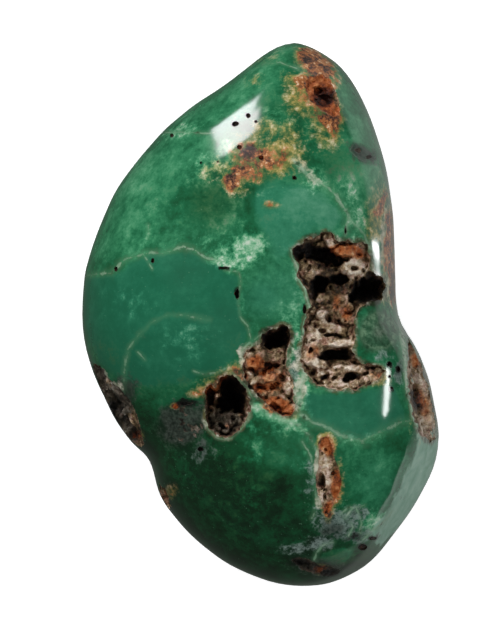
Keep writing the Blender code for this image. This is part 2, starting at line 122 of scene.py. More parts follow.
# Vugs of the upper face, in photograph pixels. Each has the roughness of its crust, the slope of its wall where that
# isn't the usual one, the depth of its floor, an outline, lumps that stand in it (x, y, half width, half height,
# depth of the top) and holes (x, y, half width, half height, depth).
VUGS = {
    "great_vug": dict(rough=1.0, slope=4.0, floor=2.3, outline=[
        (291, 250), (300, 245), (309, 239), (318, 237), (322, 233), (330, 233), (335, 239), (345, 243), (357, 241),
        (366, 245), (369, 256), (370, 270), (376, 275), (382, 277), (384, 288), (383, 298), (375, 302), (360, 306),
        (355, 314), (354, 326), (354, 338), (351, 348), (353, 357), (362, 363), (372, 364), (380, 366), (384, 371),
        (378, 378), (369, 384), (356, 388), (335, 389), (318, 385), (309, 377), (301, 366), (300, 352), (303, 335),
        (303, 326), (306, 315), (310, 307), (307, 296), (304, 287), (298, 279), (297, 266),
    ], lumps=[
        (346, 376, 32, 12, 1.0), (334, 324, 20, 18, 2.0), (311, 347, 13, 24, 1.0), (310, 272, 11, 15, 1.6),
        (348, 251, 16, 6, 0.3), (359, 248, 8, 6, 0.3), (355, 267, 13, 11, 0.5), (358, 279, 8, 8, 0.7),
        (345, 268, 6, 4, 0.6), (331, 243, 6, 5, 0.4), (326, 236, 5, 4, 0.5), (303, 269, 6, 8, 0.9),
        (310, 266, 5, 5, 0.9), (311, 276, 5, 8, 1.1), (312, 284, 3, 3, 0.8), (331, 270, 8, 3, 2.6),
        (339, 293, 10, 9, 2.2), (346, 303, 8, 9, 1.5), (322, 246, 5, 4, 1.6), (388, 288, 4, 8, 0.2),
        (321, 315, 5, 5, 0.5), (312, 310, 4, 4, 0.9), (340, 313, 5, 4, 1.2), (347, 320, 5, 5, 1.1),
        (333, 328, 6, 5, 1.3), (326, 322, 4, 4, 1.5), (341, 332, 6, 4, 1.4), (352, 330, 4, 10, 1.0),
        (330, 341, 8, 4, 0.8), (342, 343, 11, 4, 0.6), (350, 342, 5, 6, 0.5), (314, 334, 9, 6, 0.7),
        (310, 344, 7, 8, 0.5), (318, 350, 6, 5, 0.6), (307, 358, 7, 7, 0.3), (315, 362, 7, 5, 0.4),
        (323, 364, 5, 4, 0.6), (318, 376, 6, 5, 0.6), (331, 372, 5, 4, 0.7), (340, 369, 5, 4, 0.6),
        (352, 368, 5, 4, 0.4), (361, 368, 5, 4, 0.4), (339, 383, 8, 4, 0.3), (327, 382, 6, 4, 0.5),
        (358, 383, 7, 4, 0.4), (371, 374, 8, 6, 0.3), (366, 379, 6, 4, 0.4), (379, 371, 5, 4, 0.2),
    ], holes=[
        (367, 291, 15, 12, 8.0), (357, 299, 9, 6, 6.5), (377, 286, 7, 10, 7.0), (305, 249, 9, 5, 3.2),
        (318, 254, 11, 7, 4.6), (328, 259, 10, 6, 4.2), (338, 263, 5, 5, 3.8), (319, 284, 10, 8, 5.4),
        (312, 294, 5, 7, 4.2), (338, 279, 9, 6, 4.6), (353.5, 268, 3.4, 3.4, 2.6), (363, 271, 2.2, 2.2, 1.8),
        (346, 260, 3, 2.4, 2.4), (300, 258, 3, 3, 2.6), (308, 268, 2, 3, 2.2), (357.5, 287, 3, 2.4, 2.4),
        (357, 279, 2, 2, 1.6), (334.5, 241.5, 1.6, 1.6, 1.4), (328, 318, 3, 4, 2.8), (336, 321, 3, 3, 2.4),
        (354, 312, 3, 4, 2.6), (322, 331, 3, 3, 2.2), (330, 335, 6, 2, 2.6), (335, 354, 14, 5, 4.2),
        (346, 355, 8, 4, 3.4), (324, 357, 5, 3, 2.8), (310, 351, 2.6, 2.6, 1.8), (313, 339, 2, 2, 1.5),
        (306, 340, 1.6, 3, 1.5), (324, 376, 2.6, 2.2, 1.8), (350, 376, 6, 3.4, 2.6), (345, 379, 4, 2.4, 2.2),
        (334, 377, 3, 2, 1.6), (313, 371, 2.5, 2, 1.6), (372.5, 367, 3, 2.4, 1.6), (305, 309, 2.4, 5, 2.2),
        (346, 364, 4, 1.8, 2.0), (364, 374, 3, 2, 1.5),
    ]),
    "rust_vug": dict(rough=0.9, floor=1.1, outline=[
        (243, 357), (247, 350), (254, 345), (261, 341), (262, 333), (268, 330), (275, 329), (281, 324), (288, 325),
        (291, 335), (289, 348), (286, 360), (287, 370), (292, 380), (293, 396), (297, 409), (290, 414), (283, 415),
        (274, 410), (267, 404), (255, 394), (249, 386), (244, 375),
    ], lumps=[
        (253, 360, 8, 8, 0.2), (261, 355, 6, 5, 0.3), (257, 347, 4, 4, 0.2), (247, 356, 3, 6, 0.1),
        (272, 356, 5, 4, 0.5), (279, 354, 5, 5, 0.5), (281, 363, 5, 4, 0.5), (262, 378, 6, 5, 0.3),
        (252, 379, 5, 7, 0.2), (271, 376, 5, 5, 0.4), (278, 372, 4, 4, 0.4), (272, 394, 6, 5, 0.4),
        (261, 392, 5, 3, 0.3), (282, 401, 8, 4, 0.2), (290, 408, 7, 4, 0.2), (287, 385, 5, 8, 0.3),
        (267, 401, 4, 3, 0.3),
    ], holes=[
        (275, 338, 12, 9, 6.0), (268, 341, 6, 6, 5.0), (283, 332, 5, 6, 3.0), (268, 365, 4, 4, 2.0),
        (275, 364, 3.5, 3, 2.0), (283, 361.5, 2.4, 2.4, 1.6), (265, 372, 2.5, 3, 1.8), (276, 382.5, 3, 2.4, 2.0),
        (281.5, 376.5, 2.2, 2, 1.7), (273, 387.5, 3, 2.4, 2.0), (261, 386.5, 5, 2, 1.8), (251, 369, 3, 2, 1.3),
        (281, 392, 2, 2, 1.4), (256, 371, 2, 1.6, 1.3), (289, 372, 1.6, 2.4, 1.2),
    ]),
    "round_vug": dict(rough=0.8, floor=2.2, outline=[
        (220, 377), (226, 373), (233, 374), (239, 379), (246, 388), (250, 398), (250, 409), (247, 418), (240, 428),
        (232, 435), (224, 437), (216, 434), (209, 427), (206, 418), (206, 405), (205, 396), (207, 388), (211, 384),
        (216, 386),
    ], lumps=[
        (220, 395, 5, 4, 0.8), (215, 386, 3, 3, 0.4), (222, 419, 6, 5, 1.9), (230, 424, 6, 5, 1.7),
        (238, 417, 5, 6, 1.9), (226, 430, 6, 3, 1.1), (216, 427, 5, 4, 1.3), (228, 412, 5, 4, 2.2),
        (241, 423, 4, 4, 1.2), (212, 412, 4, 7, 1.6),
    ], holes=[
        (234, 389, 12, 13, 8.5), (240, 402, 8, 10, 7.0), (226, 403, 9, 8, 6.0), (211, 390, 3.2, 3.2, 3.0),
        (211, 401, 4, 5, 3.6), (233, 417, 3, 2.4, 3.2), (222, 425, 2.4, 2, 2.8),
    ]),
    "grey_hollow": dict(rough=0.15, slope=0.3, floor=0.04, outline=[
        (160, 421), (164, 408), (171, 402), (180, 399), (194, 399), (204, 404), (206, 418), (205, 432), (196, 441),
        (184, 444), (172, 439),
    ], lumps=[], holes=[
        (186, 401.5, 8, 2.4, 1.2), (178, 404, 3, 2.4, 0.6),
    ]),
    "tip_vug": dict(rough=0.8, slope=1.1, floor=0.5, outline=[
        (304, 82), (309, 78), (315, 77), (322, 76), (329, 80), (336, 90), (340, 103), (340, 114), (333, 119),
        (326, 115), (318, 110), (310, 103), (305, 93),
    ], lumps=[
        (311, 88, 4, 5, 0.3), (320, 85, 6, 4, 0.3), (330, 93, 4, 5, 0.4), (334, 109, 4, 6, 0.3), (316, 103, 5, 4, 0.4),
    ], holes=[
        (318, 92, 4, 5, 2.4), (328, 103, 5, 6, 3.2), (322, 100, 4, 4, 2.6), (323, 109, 3, 2.4, 1.8),
        (335, 100, 2, 3, 1.4), (314, 83, 2, 2, 1.0),
    ]),
    "crack_vug": dict(rough=0.6, slope=1.3, floor=0.42, outline=[
        (317, 441), (321, 436), (328, 435), (332, 446), (334, 457), (339, 468), (341, 480), (339, 490), (334, 500),
        (330, 511), (324, 513), (320, 501), (316, 490), (315, 478), (317, 466), (318, 452),
    ], lumps=[
        (321, 456, 4, 9, 0.08), (328, 478, 4, 12, 0.12), (320, 496, 3, 6, 0.12), (335, 482, 4, 8, 0.2),
        (325, 443, 5, 4, 0.2),
    ], holes=[
        (320, 480, 4.4, 7.5, 3.0), (324, 489, 1.6, 2, 1.4), (324, 495.5, 1.4, 2.6, 1.2), (332.5, 459.5, 1.8, 3.4, 1.4),
        (326, 448, 1.6, 2.4, 1.0), (330, 505, 2.4, 3, 1.2), (333, 472, 1.4, 2, 0.9),
    ]),
    "dark_vug": dict(rough=0.15, slope=0.3, floor=0.04, outline=[
        (348, 152), (352, 146), (360, 144), (370, 149), (377, 159), (371, 164), (363, 163), (355, 158),
    ], lumps=[], holes=[
        (357, 152, 2.6, 2, 0.5), (369, 158, 3, 2, 0.6),
    ]),
    "side_cavity": dict(rough=1.5, floor=1.3, outline=[
        (406, 358), (408, 349), (412, 349), (417, 358), (423, 372), (428, 388), (432, 404), (434, 420), (436, 438),
        (429, 441), (421, 435), (415, 424), (411, 411), (408, 396), (406, 374),
    ], lumps=[
        (410, 365, 2, 3, 0.3), (412, 381, 3, 3, 0.4), (424, 388, 3, 8, 0.7), (429, 412, 4, 9, 0.5),
        (417, 376, 3, 5, 0.8), (425, 430, 6, 6, 0.6), (420, 413, 3, 4, 0.8), (432, 430, 3, 6, 0.4),
        (414, 360, 3, 4, 0.6),
    ], holes=[
        (415, 392, 4, 10, 2.8), (421, 402, 4, 6, 2.6), (417, 408, 4, 6, 2.4), (425, 418, 3, 5, 2.0),
        (413, 372, 3, 4, 2.0),
    ]),
    "left_ledge": dict(rough=0.8, floor=0.55, outline=[
        (88, 358), (94, 365), (104, 371), (109, 378), (121, 388), (132, 401), (139, 418), (143, 436), (144, 446),
        (128, 452), (108, 430), (94, 402), (84, 372),
    ], lumps=[
        (108, 378, 4, 6, 0.2), (115, 387, 5, 5, 0.3), (124, 398, 4, 5, 0.3), (120, 410, 4, 7, 0.4),
        (134, 420, 4, 6, 0.3), (131, 432, 4, 5, 0.5), (104, 386, 4, 7, 0.5),
    ], holes=[
        (113, 381, 3, 2.4, 1.2), (124, 405, 4, 3, 1.2), (112, 400, 4, 6, 1.1), (138, 436, 4, 5, 1.4),
    ]),
    "foot_vug": dict(rough=0.7, slope=1.1, floor=0.5, outline=[
        (289, 558), (298, 555), (308, 557), (320, 563), (332, 565), (341, 568), (341, 574), (330, 577), (314, 574),
        (300, 569),
    ], lumps=[
        (312, 566, 6, 4, 0.2), (303, 566, 4, 3, 0.2), (323, 569, 4, 3, 0.2),
    ], holes=[
        (298, 560, 6, 2.6, 1.2), (331, 571, 7, 2.6, 1.3), (318, 571, 3, 2, 0.9),
    ]),
}

# Small pits in the polished skin, in photograph pixels: x, y, half width, half height, depth in millimetres
PITS = [
    (235.6, 125.2, 3.4, 2.7, 0.35), (248.2, 116.8, 2.6, 2.4, 0.35), (255.9, 122.9, 1.6, 1.6, 0.25),
    (237.5, 293, 2.0, 5.6, 0.7), (224, 268.5, 5.0, 1.3, 0.4), (153.5, 261, 1.3, 2.2, 0.35), (117, 269, 1.7, 2.4, 0.35),
    (388.3, 364, 2.6, 2.6, 0.8), (396.5, 369, 2.2, 2.8, 0.6), (388.3, 376, 1.3, 1.3, 0.4),
    (390.5, 387.4, 1.5, 1.2, 0.4), (239.5, 148.5, 2.4, 2.0, 0.3), (261, 159, 3.0, 2.2, 0.35),
    (294, 179, 1.6, 1.6, 0.3), (345, 231, 1.4, 4.0, 0.5), (362, 546, 4.0, 3.0, 0.5), (372, 537, 4.0, 1.8, 0.4),
    (304, 309, 1.6, 4.0, 0.5), (201, 448, 2.6, 2.0, 0.3), (172, 136, 1.7, 1.7, 0.5), (201.5, 164, 1.1, 1.1, 0.3),
    (218, 163, 1.0, 1.0, 0.3),
]

# Rough hollows of the sides and the back, in millimetres: centre, half sizes, fineness
HOLLOWS = [
    ((16.6, -4.9, 15.4), (1.7, 2.0, 2.6), 5), ((17.5, -7.6, 15.2), (2.2, 2.5, 3.2), 5),
    ((18.3, -10.6, 14.7), (2.2, 2.4, 3.0), 5), ((-17.8, -7.5, 14.2), (1.5, 2.2, 2.6), 5),
    ((-16.6, -10.1, 14.0), (1.7, 2.5, 3.0), 5), ((-14.9, -13.0, 13.7), (1.6, 2.2, 2.8), 5),
    ((-10.7, -19.9, 13.0), (1.0, 1.5, 2.0), 4), ((15.6, 9.8, 11.6), (0.8, 1.6, 1.6), 4),
    ((15.8, 6.2, 11.4), (0.8, 2.0, 1.6), 4), ((15.9, 3.2, 11.6), (0.8, 1.4, 1.4), 4),
    ((-17.6, 9.4, 5.6), (1.6, 2.2, 1.8), 4), ((-16.6, 12.6, 5.0), (1.1, 1.6, 1.3), 4),
    ((4.4, -29.0, 4.8), (2.3, 1.3, 1.6), 4), ((7.6, 27.6, 5.0), (1.7, 1.5, 1.5), 4),
    ((15.4, -21.6, 3.6), (1.7, 2.0, 1.5), 4), ((4.6, -8.6, -0.2), (2.2, 1.5, 1.5), 4),
    ((6.8, -7.4, 0.1), (1.4, 1.1, 1.2), 4),
]
LUMPINESS = 0.44
LUMP_SPAN = 0.77

# Marks of the upper face, in photograph pixels: x, y, half width, half height, turn in degrees if any, strength
MARKS = {
    "rust": [
        (233, 183, 8, 9, 10, 1.1), (240, 174, 9, 12, 30, 0.9), (248, 156, 15, 14, 20, 0.9), (262, 160, 13, 12, 1.0),
        (278, 156, 12, 14, 0.6), (250, 174, 14, 9, 0.8), (270, 207, 8, 4, 0.6), (311, 62, 17, 12, 30, 1.3),
        (323, 70, 12, 11, 40, 1.2), (316, 84, 20, 14, 1.0), (300, 88, 9, 13, 0.8), (330, 118, 11, 18, -15, 1.2),
        (333, 134, 6, 8, 0.7), (318, 94, 15, 34, -25, 0.9), (346, 252, 17, 7, 6, 1.5), (324, 94, 12, 12, 0.4),
        (255, 362, 9, 9, 1.15), (279, 405, 19, 8, 24, 0.95), (261, 388, 10, 6, 0.9), (239, 373, 10, 6, 30, 1.0),
        (222, 378, 8, 4, -30, 0.8), (213, 388, 10, 6, -30, 0.9), (200, 392, 12, 5, -10, 0.7), (270, 378, 16, 21, 0.72),
        (335, 484, 6, 18, 0.95), (327, 445, 8, 11, 1.1), (329, 508, 7, 12, 5, 0.8), (176, 405, 5, 3, 0.9),
        (388, 240, 5, 30, 4, 1.3), (380, 206, 5, 16, 25, 1.0), (392, 270, 4, 20, 1.3), (393, 292, 4, 14, 1.1),
        (376, 375, 9, 5, 0.6), (414, 362, 6, 9, -10, 0.8), (424, 404, 6, 20, -14, 0.7), (346, 312, 8, 12, 0.7),
        (337, 302, 8, 12, 0.6), (312, 352, 7, 12, 30, 0.7), (318, 379, 10, 6, 0.3), (138, 435, 7, 6, 0.6),
        (170, 492, 8, 9, 30, 0.5), (320, 568, 14, 5, 10, 0.5), (228, 424, 7, 6, 0.5), (356, 372, 10, 5, 0.4),
    ],
    "cream": [
        (300, 165, 8, 16, -40, 0.8), (313, 178, 8, 12, -50, 0.7), (286, 142, 12, 10, 0.5), (262, 127, 10, 8, 0.35),
        (354, 268, 15, 14, 1.0), (311, 272, 8, 14, 0.8), (321, 315, 7, 7, 1.3), (341, 343, 15, 6, 1.1),
        (331, 328, 9, 8, 0.7), (312, 336, 12, 16, 10, 1.0), (306, 360, 11, 14, 15, 1.3), (325, 370, 12, 6, 0.6),
        (339, 384, 14, 5, 1.3), (351, 368, 14, 5, 0.9), (300, 388, 6, 22, 5, 1.1), (245, 354, 7, 11, 1.3),
        (257, 344, 5, 5, 0.9), (252, 380, 6, 9, 0.9), (290, 385, 5, 14, 0.8), (270, 380, 10, 12, 0.6),
        (292, 352, 8, 22, 14, 0.7), (320, 462, 6, 18, 1.4), (327, 476, 5, 12, 1.0), (320, 497, 6, 9, 1.1),
        (331, 243, 7, 6, 1.1), (307, 96, 6, 6, 0.4), (116, 388, 8, 8, 30, 1.0), (121, 411, 6, 9, 30, 1.1),
        (104, 374, 7, 7, 30, 1.0), (128, 424, 6, 8, 20, 0.8), (386, 238, 7, 32, 4, 1.3), (391, 278, 6, 28, 1.3),
        (316, 92, 5, 7, 0.5), (224, 421, 14, 8, 0.45), (372, 378, 14, 5, 0.7), (411, 366, 4, 8, 10, 0.9),
        (428, 420, 9, 18, 1.3), (427, 384, 6, 22, -10, 1.1), (412, 384, 4, 7, 1.0), (330, 104, 5, 5, 0.5),
        (348, 330, 6, 8, 0.4), (340, 508, 4, 8, 0.3), (272, 410, 16, 5, 25, 0.5),
    ],
    "ochre": [
        (279, 158, 17, 17, 1.3), (262, 132, 24, 13, 0.6), (290, 138, 15, 16, 0.7), (216, 170, 16, 12, -20, 0.7),
        (240, 190, 16, 8, 0.6), (296, 94, 14, 26, -20, 0.8), (326, 134, 16, 18, -20, 0.7), (316, 58, 24, 14, 30, 0.6),
        (374, 222, 10, 40, 6, 0.7), (326, 440, 10, 9, 1.2), (376, 376, 14, 8, 0.9), (222, 380, 26, 12, -25, 0.8),
        (338, 476, 6, 22, 0.6), (300, 158, 12, 16, -40, 0.6), (416, 432, 10, 20, 0.3), (256, 82, 10, 7, -20, 0.5),
        (384, 290, 8, 20, 0.5), (262, 60, 26, 8, -10, 0.3),
    ],
    "grey": [
        (182, 422, 28, 24, -20, 1.2), (200, 450, 18, 18, -30, 0.6), (362, 155, 17, 11, 25, 1.1),
        (330, 528, 18, 14, 30, 0.8), (345, 514, 18, 12, 0.5), (352, 532, 18, 12, 0.6), (335, 172, 18, 14, 0.5),
        (213, 208, 28, 26, 20, 0.35), (248, 154, 13, 11, 20, 0.7), (293, 352, 9, 22, 12, 0.5), (398, 368, 8, 16, 0.6),
        (391, 290, 5, 14, 0.5), (116, 404, 18, 38, 30, 1.1), (320, 566, 34, 13, 8, 0.9), (318, 108, 14, 12, 0.3),
        (225, 420, 20, 18, 0.9), (252, 450, 18, 16, 0.2), (250, 498, 14, 18, 0.2), (340, 312, 24, 18, 0.3),
    ],
    # Dark stone in places, and painted shade over the holes of the vugs and over the pits
    "dark": [
        (322, 100, 11, 14, -20, 0.5), (299, 90, 6, 9, 0.5), (328, 266, 17, 7, 1.1), (416, 398, 7, 17, -14, 1.1),
        (345, 298, 14, 14, 0.35), (330, 322, 18, 14, 0.4), (303, 250, 13, 8, -20, 1.2), (318, 256, 18, 13, 1.3),
        (328, 283, 22, 14, 1.2), (366, 290, 19, 16, -20, 1.5), (337, 355, 22, 7, 1.1), (276, 337, 17, 13, -20, 1.5),
        (235, 391, 16, 19, 10, 1.6), (212, 400, 8, 14, 1.0), (222, 412, 16, 12, 0.7), (324, 98, 11, 12, 30, 1.2),
        (301, 83, 4, 4, 1.0), (362, 154, 12, 7, 25, 0.5), (300, 561, 14, 6, 10, 1.0), (331, 571, 11, 5, 1.0),
        (317, 566, 20, 8, 10, 0.7), (362, 546, 8, 7, 0.8), (320, 480, 5, 8, 1.0), (187, 402, 12, 5, 1.0),
        (350, 376, 9, 5, 1.0), (268, 367, 8, 6, 0.7), (119, 398, 12, 22, 30, 0.6), (136, 434, 8, 9, 30, 0.8),
        (352, 525, 8, 6, 0.5), (334, 543, 18, 5, 0.4), (370, 157, 7, 5, 30, 0.6), (325, 513, 6, 7, 0.4),
        (348, 536, 16, 4, -20, 0.7), (172, 488, 12, 12, 40, 0.7), (374, 536, 10, 5, -20, 0.6), (324, 377, 5, 4, 0.8),
        (396, 372, 5, 6, 0.5), (224, 269, 9, 3, 0.6), (403, 498, 8, 6, 0.5), (310, 292, 6, 12, 0.6),
        (298, 300, 4, 9, 0.5), (261, 160, 5, 4, 0.7), (240, 150, 6, 5, 0.4),
    ],
    "slate": [
        (338, 523, 24, 15, 20, 1.15), (354, 512, 14, 9, 1.0), (322, 541, 14, 8, -10, 0.9), (300, 548, 20, 6, 0.6),
        (362, 533, 12, 10, 0.8), (310, 470, 6, 26, 0.5), (386, 350, 12, 12, 0.5), (296, 364, 8, 20, 10, 0.8),
        (200, 452, 16, 12, 0.4), (398, 372, 7, 12, 0.8),
    ],
    # Pale on the lower right side: a painted reflection of the white surroundings.
    "veiled": [(426, 356, 6, 26, -20, 0.2)],
    "pale": [
        (232, 256, 26, 14, -8, 1.0), (252, 246, 14, 14, 1.3), (225, 215, 34, 22, 10, 0.35), (290, 130, 26, 18, 0.45),
        (273, 118, 14, 12, 0.5), (150, 225, 10, 44, 15, 0.25), (346, 190, 12, 26, -20, 0.5), (135, 305, 20, 14, 0.35),
        (215, 242, 26, 10, -20, 0.4), (292, 322, 14, 26, 10, 0.6), (275, 415, 34, 8, 24, 1.3),
        (262, 428, 24, 10, 20, 0.5), (356, 222, 14, 18, -10, 0.7), (212, 168, 16, 14, 0.8), (262, 195, 26, 10, 0.3),
        (372, 200, 9, 34, 5, 0.4), (190, 342, 34, 18, 0.42), (298, 388, 11, 28, 1.2), (292, 350, 14, 26, 10, 1.0),
        (300, 285, 10, 24, 0.55), (278, 90, 18, 14, 0.25), (373, 270, 8, 12, 0.5), (340, 512, 24, 14, 0.45),
        (252, 498, 11, 17, 0.5), (372, 438, 26, 7, -8, 0.4), (340, 150, 14, 18, 0.2), (180, 132, 28, 7, -15, 0.6),
        (316, 180, 12, 14, 30, 0.7), (228, 150, 12, 16, 0.7), (308, 452, 9, 22, 0.4), (252, 453, 14, 15, 0.5),
        (200, 176, 20, 26, 0.35), (300, 412, 14, 8, 10, 0.6), (340, 434, 26, 5, 12, 0.5), (374, 522, 20, 12, -40, 0.9),
        (330, 125, 16, 16, 0.35), (110, 300, 14, 20, 0.25), (240, 305, 8, 30, 0.25),
    ],
    "olive": [
        (160, 205, 30, 40, 30, 0.3), (235, 475, 42, 62, 0.3), (340, 165, 26, 22, 0.7), (212, 205, 34, 30, 20, 0.7),
        (275, 100, 30, 20, -20, 0.5), (262, 150, 46, 40, 0.8), (374, 214, 12, 36, 0.8), (282, 440, 20, 18, 0.4),
        (335, 553, 22, 14, 0.6), (110, 355, 16, 26, -30, 0.5), (365, 555, 26, 14, -30, 0.6), (292, 385, 8, 14, 0.6),
        (302, 100, 22, 30, 0.8), (165, 388, 40, 14, -10, 0.5), (320, 130, 20, 20, 0.5), (342, 480, 8, 30, 0.5),
        (235, 345, 10, 24, 0.4), (258, 222, 30, 24, 0.3),
    ],
    "teal": [(180, 315, 80, 60, 0.6), (258, 300, 26, 28, 0.5), (375, 480, 34, 40, 0.4)],
    "lens": [(280, 290, 26, 26, 0.5), (330, 240, 20, 8, 0.3)],
    # Lighter stone: the pale lens near the foot, and the upper part lighter partly as painted light from above.
    "light": [
        (140, 180, 50, 50, 35, 1.0), (190, 150, 60, 30, -20, 0.9), (240, 100, 50, 34, -30, 0.7),
        (316, 196, 34, 22, 30, 0.6), (300, 60, 50, 20, 20, 0.8), (362, 160, 30, 90, 10, 1.1),
        (120, 225, 34, 40, 10, 0.6), (280, 285, 28, 28, 0.4), (345, 110, 20, 50, 15, 0.6), (292, 302, 18, 22, 0.6),
        (336, 555, 19, 7, -6, 1.6), (378, 470, 34, 46, 0.35), (355, 410, 44, 24, 0.3),
    ],
    # Darker stone at the bottom, partly painted shade away from the light above.
    "deep": [
        (150, 470, 60, 40, 45, 0.6), (215, 480, 50, 80, 0.8), (215, 545, 66, 40, 30, 0.9), (285, 575, 60, 26, 5, 0.9),
    ],
}

# Panes of clearer stone that the veins bound, in photograph pixels: mark, width of the soft edge, strength, outline
PANES = [
    ("teal", 9, 0.8, [
        (84, 278), (101, 276), (117, 272), (144, 256), (172, 253), (190, 249), (206, 260), (226, 272), (238, 277),
        (240, 300), (241, 318), (248, 330), (243, 350), (225, 368), (200, 376), (185, 385), (150, 388), (125, 382),
        (102, 364), (90, 345), (82, 310),
    ]),
    ("teal", 4, 1.0, [
        (305, 390), (330, 394), (362, 392), (390, 383), (398, 400), (403, 418), (389, 428), (362, 440), (345, 436),
        (330, 428), (312, 423), (303, 410),
    ]),
    ("lens", 5, 0.9, [
        (258, 188), (290, 182), (306, 188), (322, 196), (335, 206), (343, 222), (332, 230), (316, 234), (300, 242),
        (290, 252), (280, 262), (268, 240), (258, 222), (252, 205),
    ]),
    # The lower right side, painted pale: a painted reflection.
    ("veiled", 7, 1.0, [
        (414, 426), (416, 441), (412, 457), (402, 479), (392, 499), (384, 514), (368, 534), (380, 545), (410, 520),
        (440, 480), (450, 420), (438, 424), (424, 434),
    ]),
    ("light", 3, 1.7, [
        (318, 557), (322, 550), (332, 547), (344, 547), (354, 551), (351, 558), (341, 562), (328, 563),
    ]),
    # The darker bottom, partly painted shade.
    ("deep", 44, 1.0, [
        (60, 392), (125, 398), (160, 408), (205, 404), (235, 440), (262, 462), (300, 468), (316, 490), (318, 520),
        (345, 545), (375, 562), (330, 610), (230, 610), (100, 500), (60, 400),
    ]),
]

# Pale veins in the polished skin, in photograph pixels: half width, strength, points
VEINS = [
    (1.5, 0.6, [
        (88, 276), (101, 274), (113, 273), (122, 262), (144, 254), (161, 254), (172, 251), (184, 247), (195, 250),
        (206, 258), (220, 262),
    ]),
    (0.8, 0.7, [(144, 254), (148, 260), (153, 269)]),
    (0.9, 0.5, [(225, 270), (238, 272), (241, 283), (238, 304), (240, 317), (248, 325), (250, 340), (252, 346)]),
    (1.6, 0.9, [(293, 160), (303, 172), (315, 182), (327, 189), (336, 197), (343, 209), (348, 219), (345, 234)]),
    (1.0, 0.5, [(230, 366), (215, 373), (205, 374), (195, 371)]),
    (1.4, 0.6, [(252, 404), (264, 410), (278, 418), (292, 423), (300, 424)]),
    (1.2, 0.6, [(296, 424), (306, 432), (314, 442), (317, 452)]),
    (2.0, 0.7, [
        (300, 414), (312, 422), (322, 424), (330, 428), (338, 434), (352, 437), (361, 441), (368, 437), (376, 433),
        (386, 427), (400, 421), (412, 420),
    ]),
    (1.8, 0.9, [(313, 350), (306, 362), (302, 376), (299, 392), (300, 406)]),
    (1.2, 0.8, [(286, 352), (284, 364), (288, 374)]),
    (0.9, 0.7, [(344, 516), (350, 508), (354, 504), (358, 512), (361, 522), (360, 532)]),
    (0.9, 0.6, [(341, 512), (347, 506), (356, 505), (364, 503)]),
    (0.9, 0.7, [(348, 520), (352, 526), (348, 534)]),
    (1.0, 0.7, [(313, 562), (315, 552), (322, 544), (333, 541)]),
    (1.4, 0.7, [(362, 538), (372, 530), (382, 522), (392, 510)]),
    (0.7, 0.3, [(206, 421), (209, 429), (217, 437), (225, 439), (232, 437), (240, 430), (248, 420), (251, 410)]),
    (0.7, 0.2, [(232, 372), (240, 380), (248, 388), (252, 398)]),
    (0.8, 1.2, [
        (290.5, 250), (296.5, 266), (297.5, 279), (305, 288), (306.5, 296), (309.5, 304), (309, 311), (304, 322),
        (302.5, 333),
    ]),
    (1.4, 0.3, [(124, 392), (125, 372), (129, 350), (139, 335), (150, 325), (169, 315), (186, 315), (209, 320)]),
    (0.9, 0.5, [(149, 226), (148, 238)]),
    (1.1, 1.9, [(397, 308), (401, 328), (403, 345), (405, 365), (406.5, 389), (411, 408), (415.6, 423)]),
    (0.8, 0.35, [(262, 66), (280, 62), (296, 70)]),
    (1.0, 0.5, [(166, 132), (190, 134), (214, 134)]),
    (1.4, 0.6, [(346, 219), (356, 226), (364, 236), (370, 250)]),
    (0.8, 0.5, [(241, 360), (242, 350), (248, 343), (256, 338), (262, 334)]),
    (0.9, 0.8, [(139, 352), (145, 360)]),
    (1.2, 0.5, [(302, 440), (311, 456), (314, 476), (316, 500), (312, 516)]),
]
VEIN_REACH = 6.0
RIM_REACH = 12.0
RING_REACH = 9.0
DEEP_FLOOR = 1.0  # a vug with a deeper floor than this has a stained rim
WAVER = 0.35  # how far the marks wander from their drawn places, in millimetres
RELIEF_PASSES, RISE_PASSES = 8, 60  # of blending, for the fine and the broad bumps and hollows of the matrix, which its colour paints as light and shade

# The polished round nodule beside the great vug
NODULE_X, NODULE_Y, NODULE_RADIUS = 377.6, 331.0, 21.0

# Stains of the sides and the back, in millimetres: mark, centre, reach. The dark ones sit in the hollows and paint
# shade there.
SIDE_STAINS = [
    ("cream", (18.4, -7.6, 12.6), 2.8), ("cream", (19.2, -10.4, 12.4), 2.8), ("dark", (17.2, -8.8, 13.6), 1.4),
    ("rust", (15.2, 8.5, 11.0), 3.4), ("rust", (15.4, 4.0, 11.0), 3.0), ("grey", (-17.6, -8.0, 12.5), 4.0),
    ("grey", (-15.6, -12.0, 12.0), 4.0), ("dark", (-16.4, -11.0, 12.5), 3.0), ("rust", (-17.4, 9.6, 5.8), 2.8),
    ("cream", (-16.8, 12.0, 5.0), 2.6), ("grey", (4.4, -28.4, 5.5), 4.0), ("dark", (4.4, -28.8, 4.8), 2.4),
    ("rust", (7.6, 27.2, 5.4), 2.6), ("grey", (15.0, -21.4, 4.0), 3.4), ("rust", (15.2, -21.2, 3.6), 2.0),
    ("rust", (5.4, -8.2, 0.3), 3.0), ("cream", (6.6, -7.4, 0.3), 2.6), ("pale", (-6.0, 6.0, 0.5), 7.0),
    ("pale", (4.0, 14.0, 1.0), 6.0), ("olive", (-4.0, -14.0, 0.8), 9.0), ("pale", (-18.5, 2.0, 6.0), 5.0),
]


def to_mm(px, py):
    return (px - ORIGIN_X) * PIXEL, (ORIGIN_Y - py) * PIXEL


def to_pixels(x, y):
    return ORIGIN_X + x / PIXEL, ORIGIN_Y - y / PIXEL


def select_only(thing):
    bpy.ops.object.select_all(action="DESELECT")
    thing.select_set(True)
    bpy.context.view_layer.objects.active = thing


@contextmanager
def editing():
    bpy.ops.object.mode_set(mode="EDIT")
    yield
    bpy.ops.object.mode_set(mode="OBJECT")


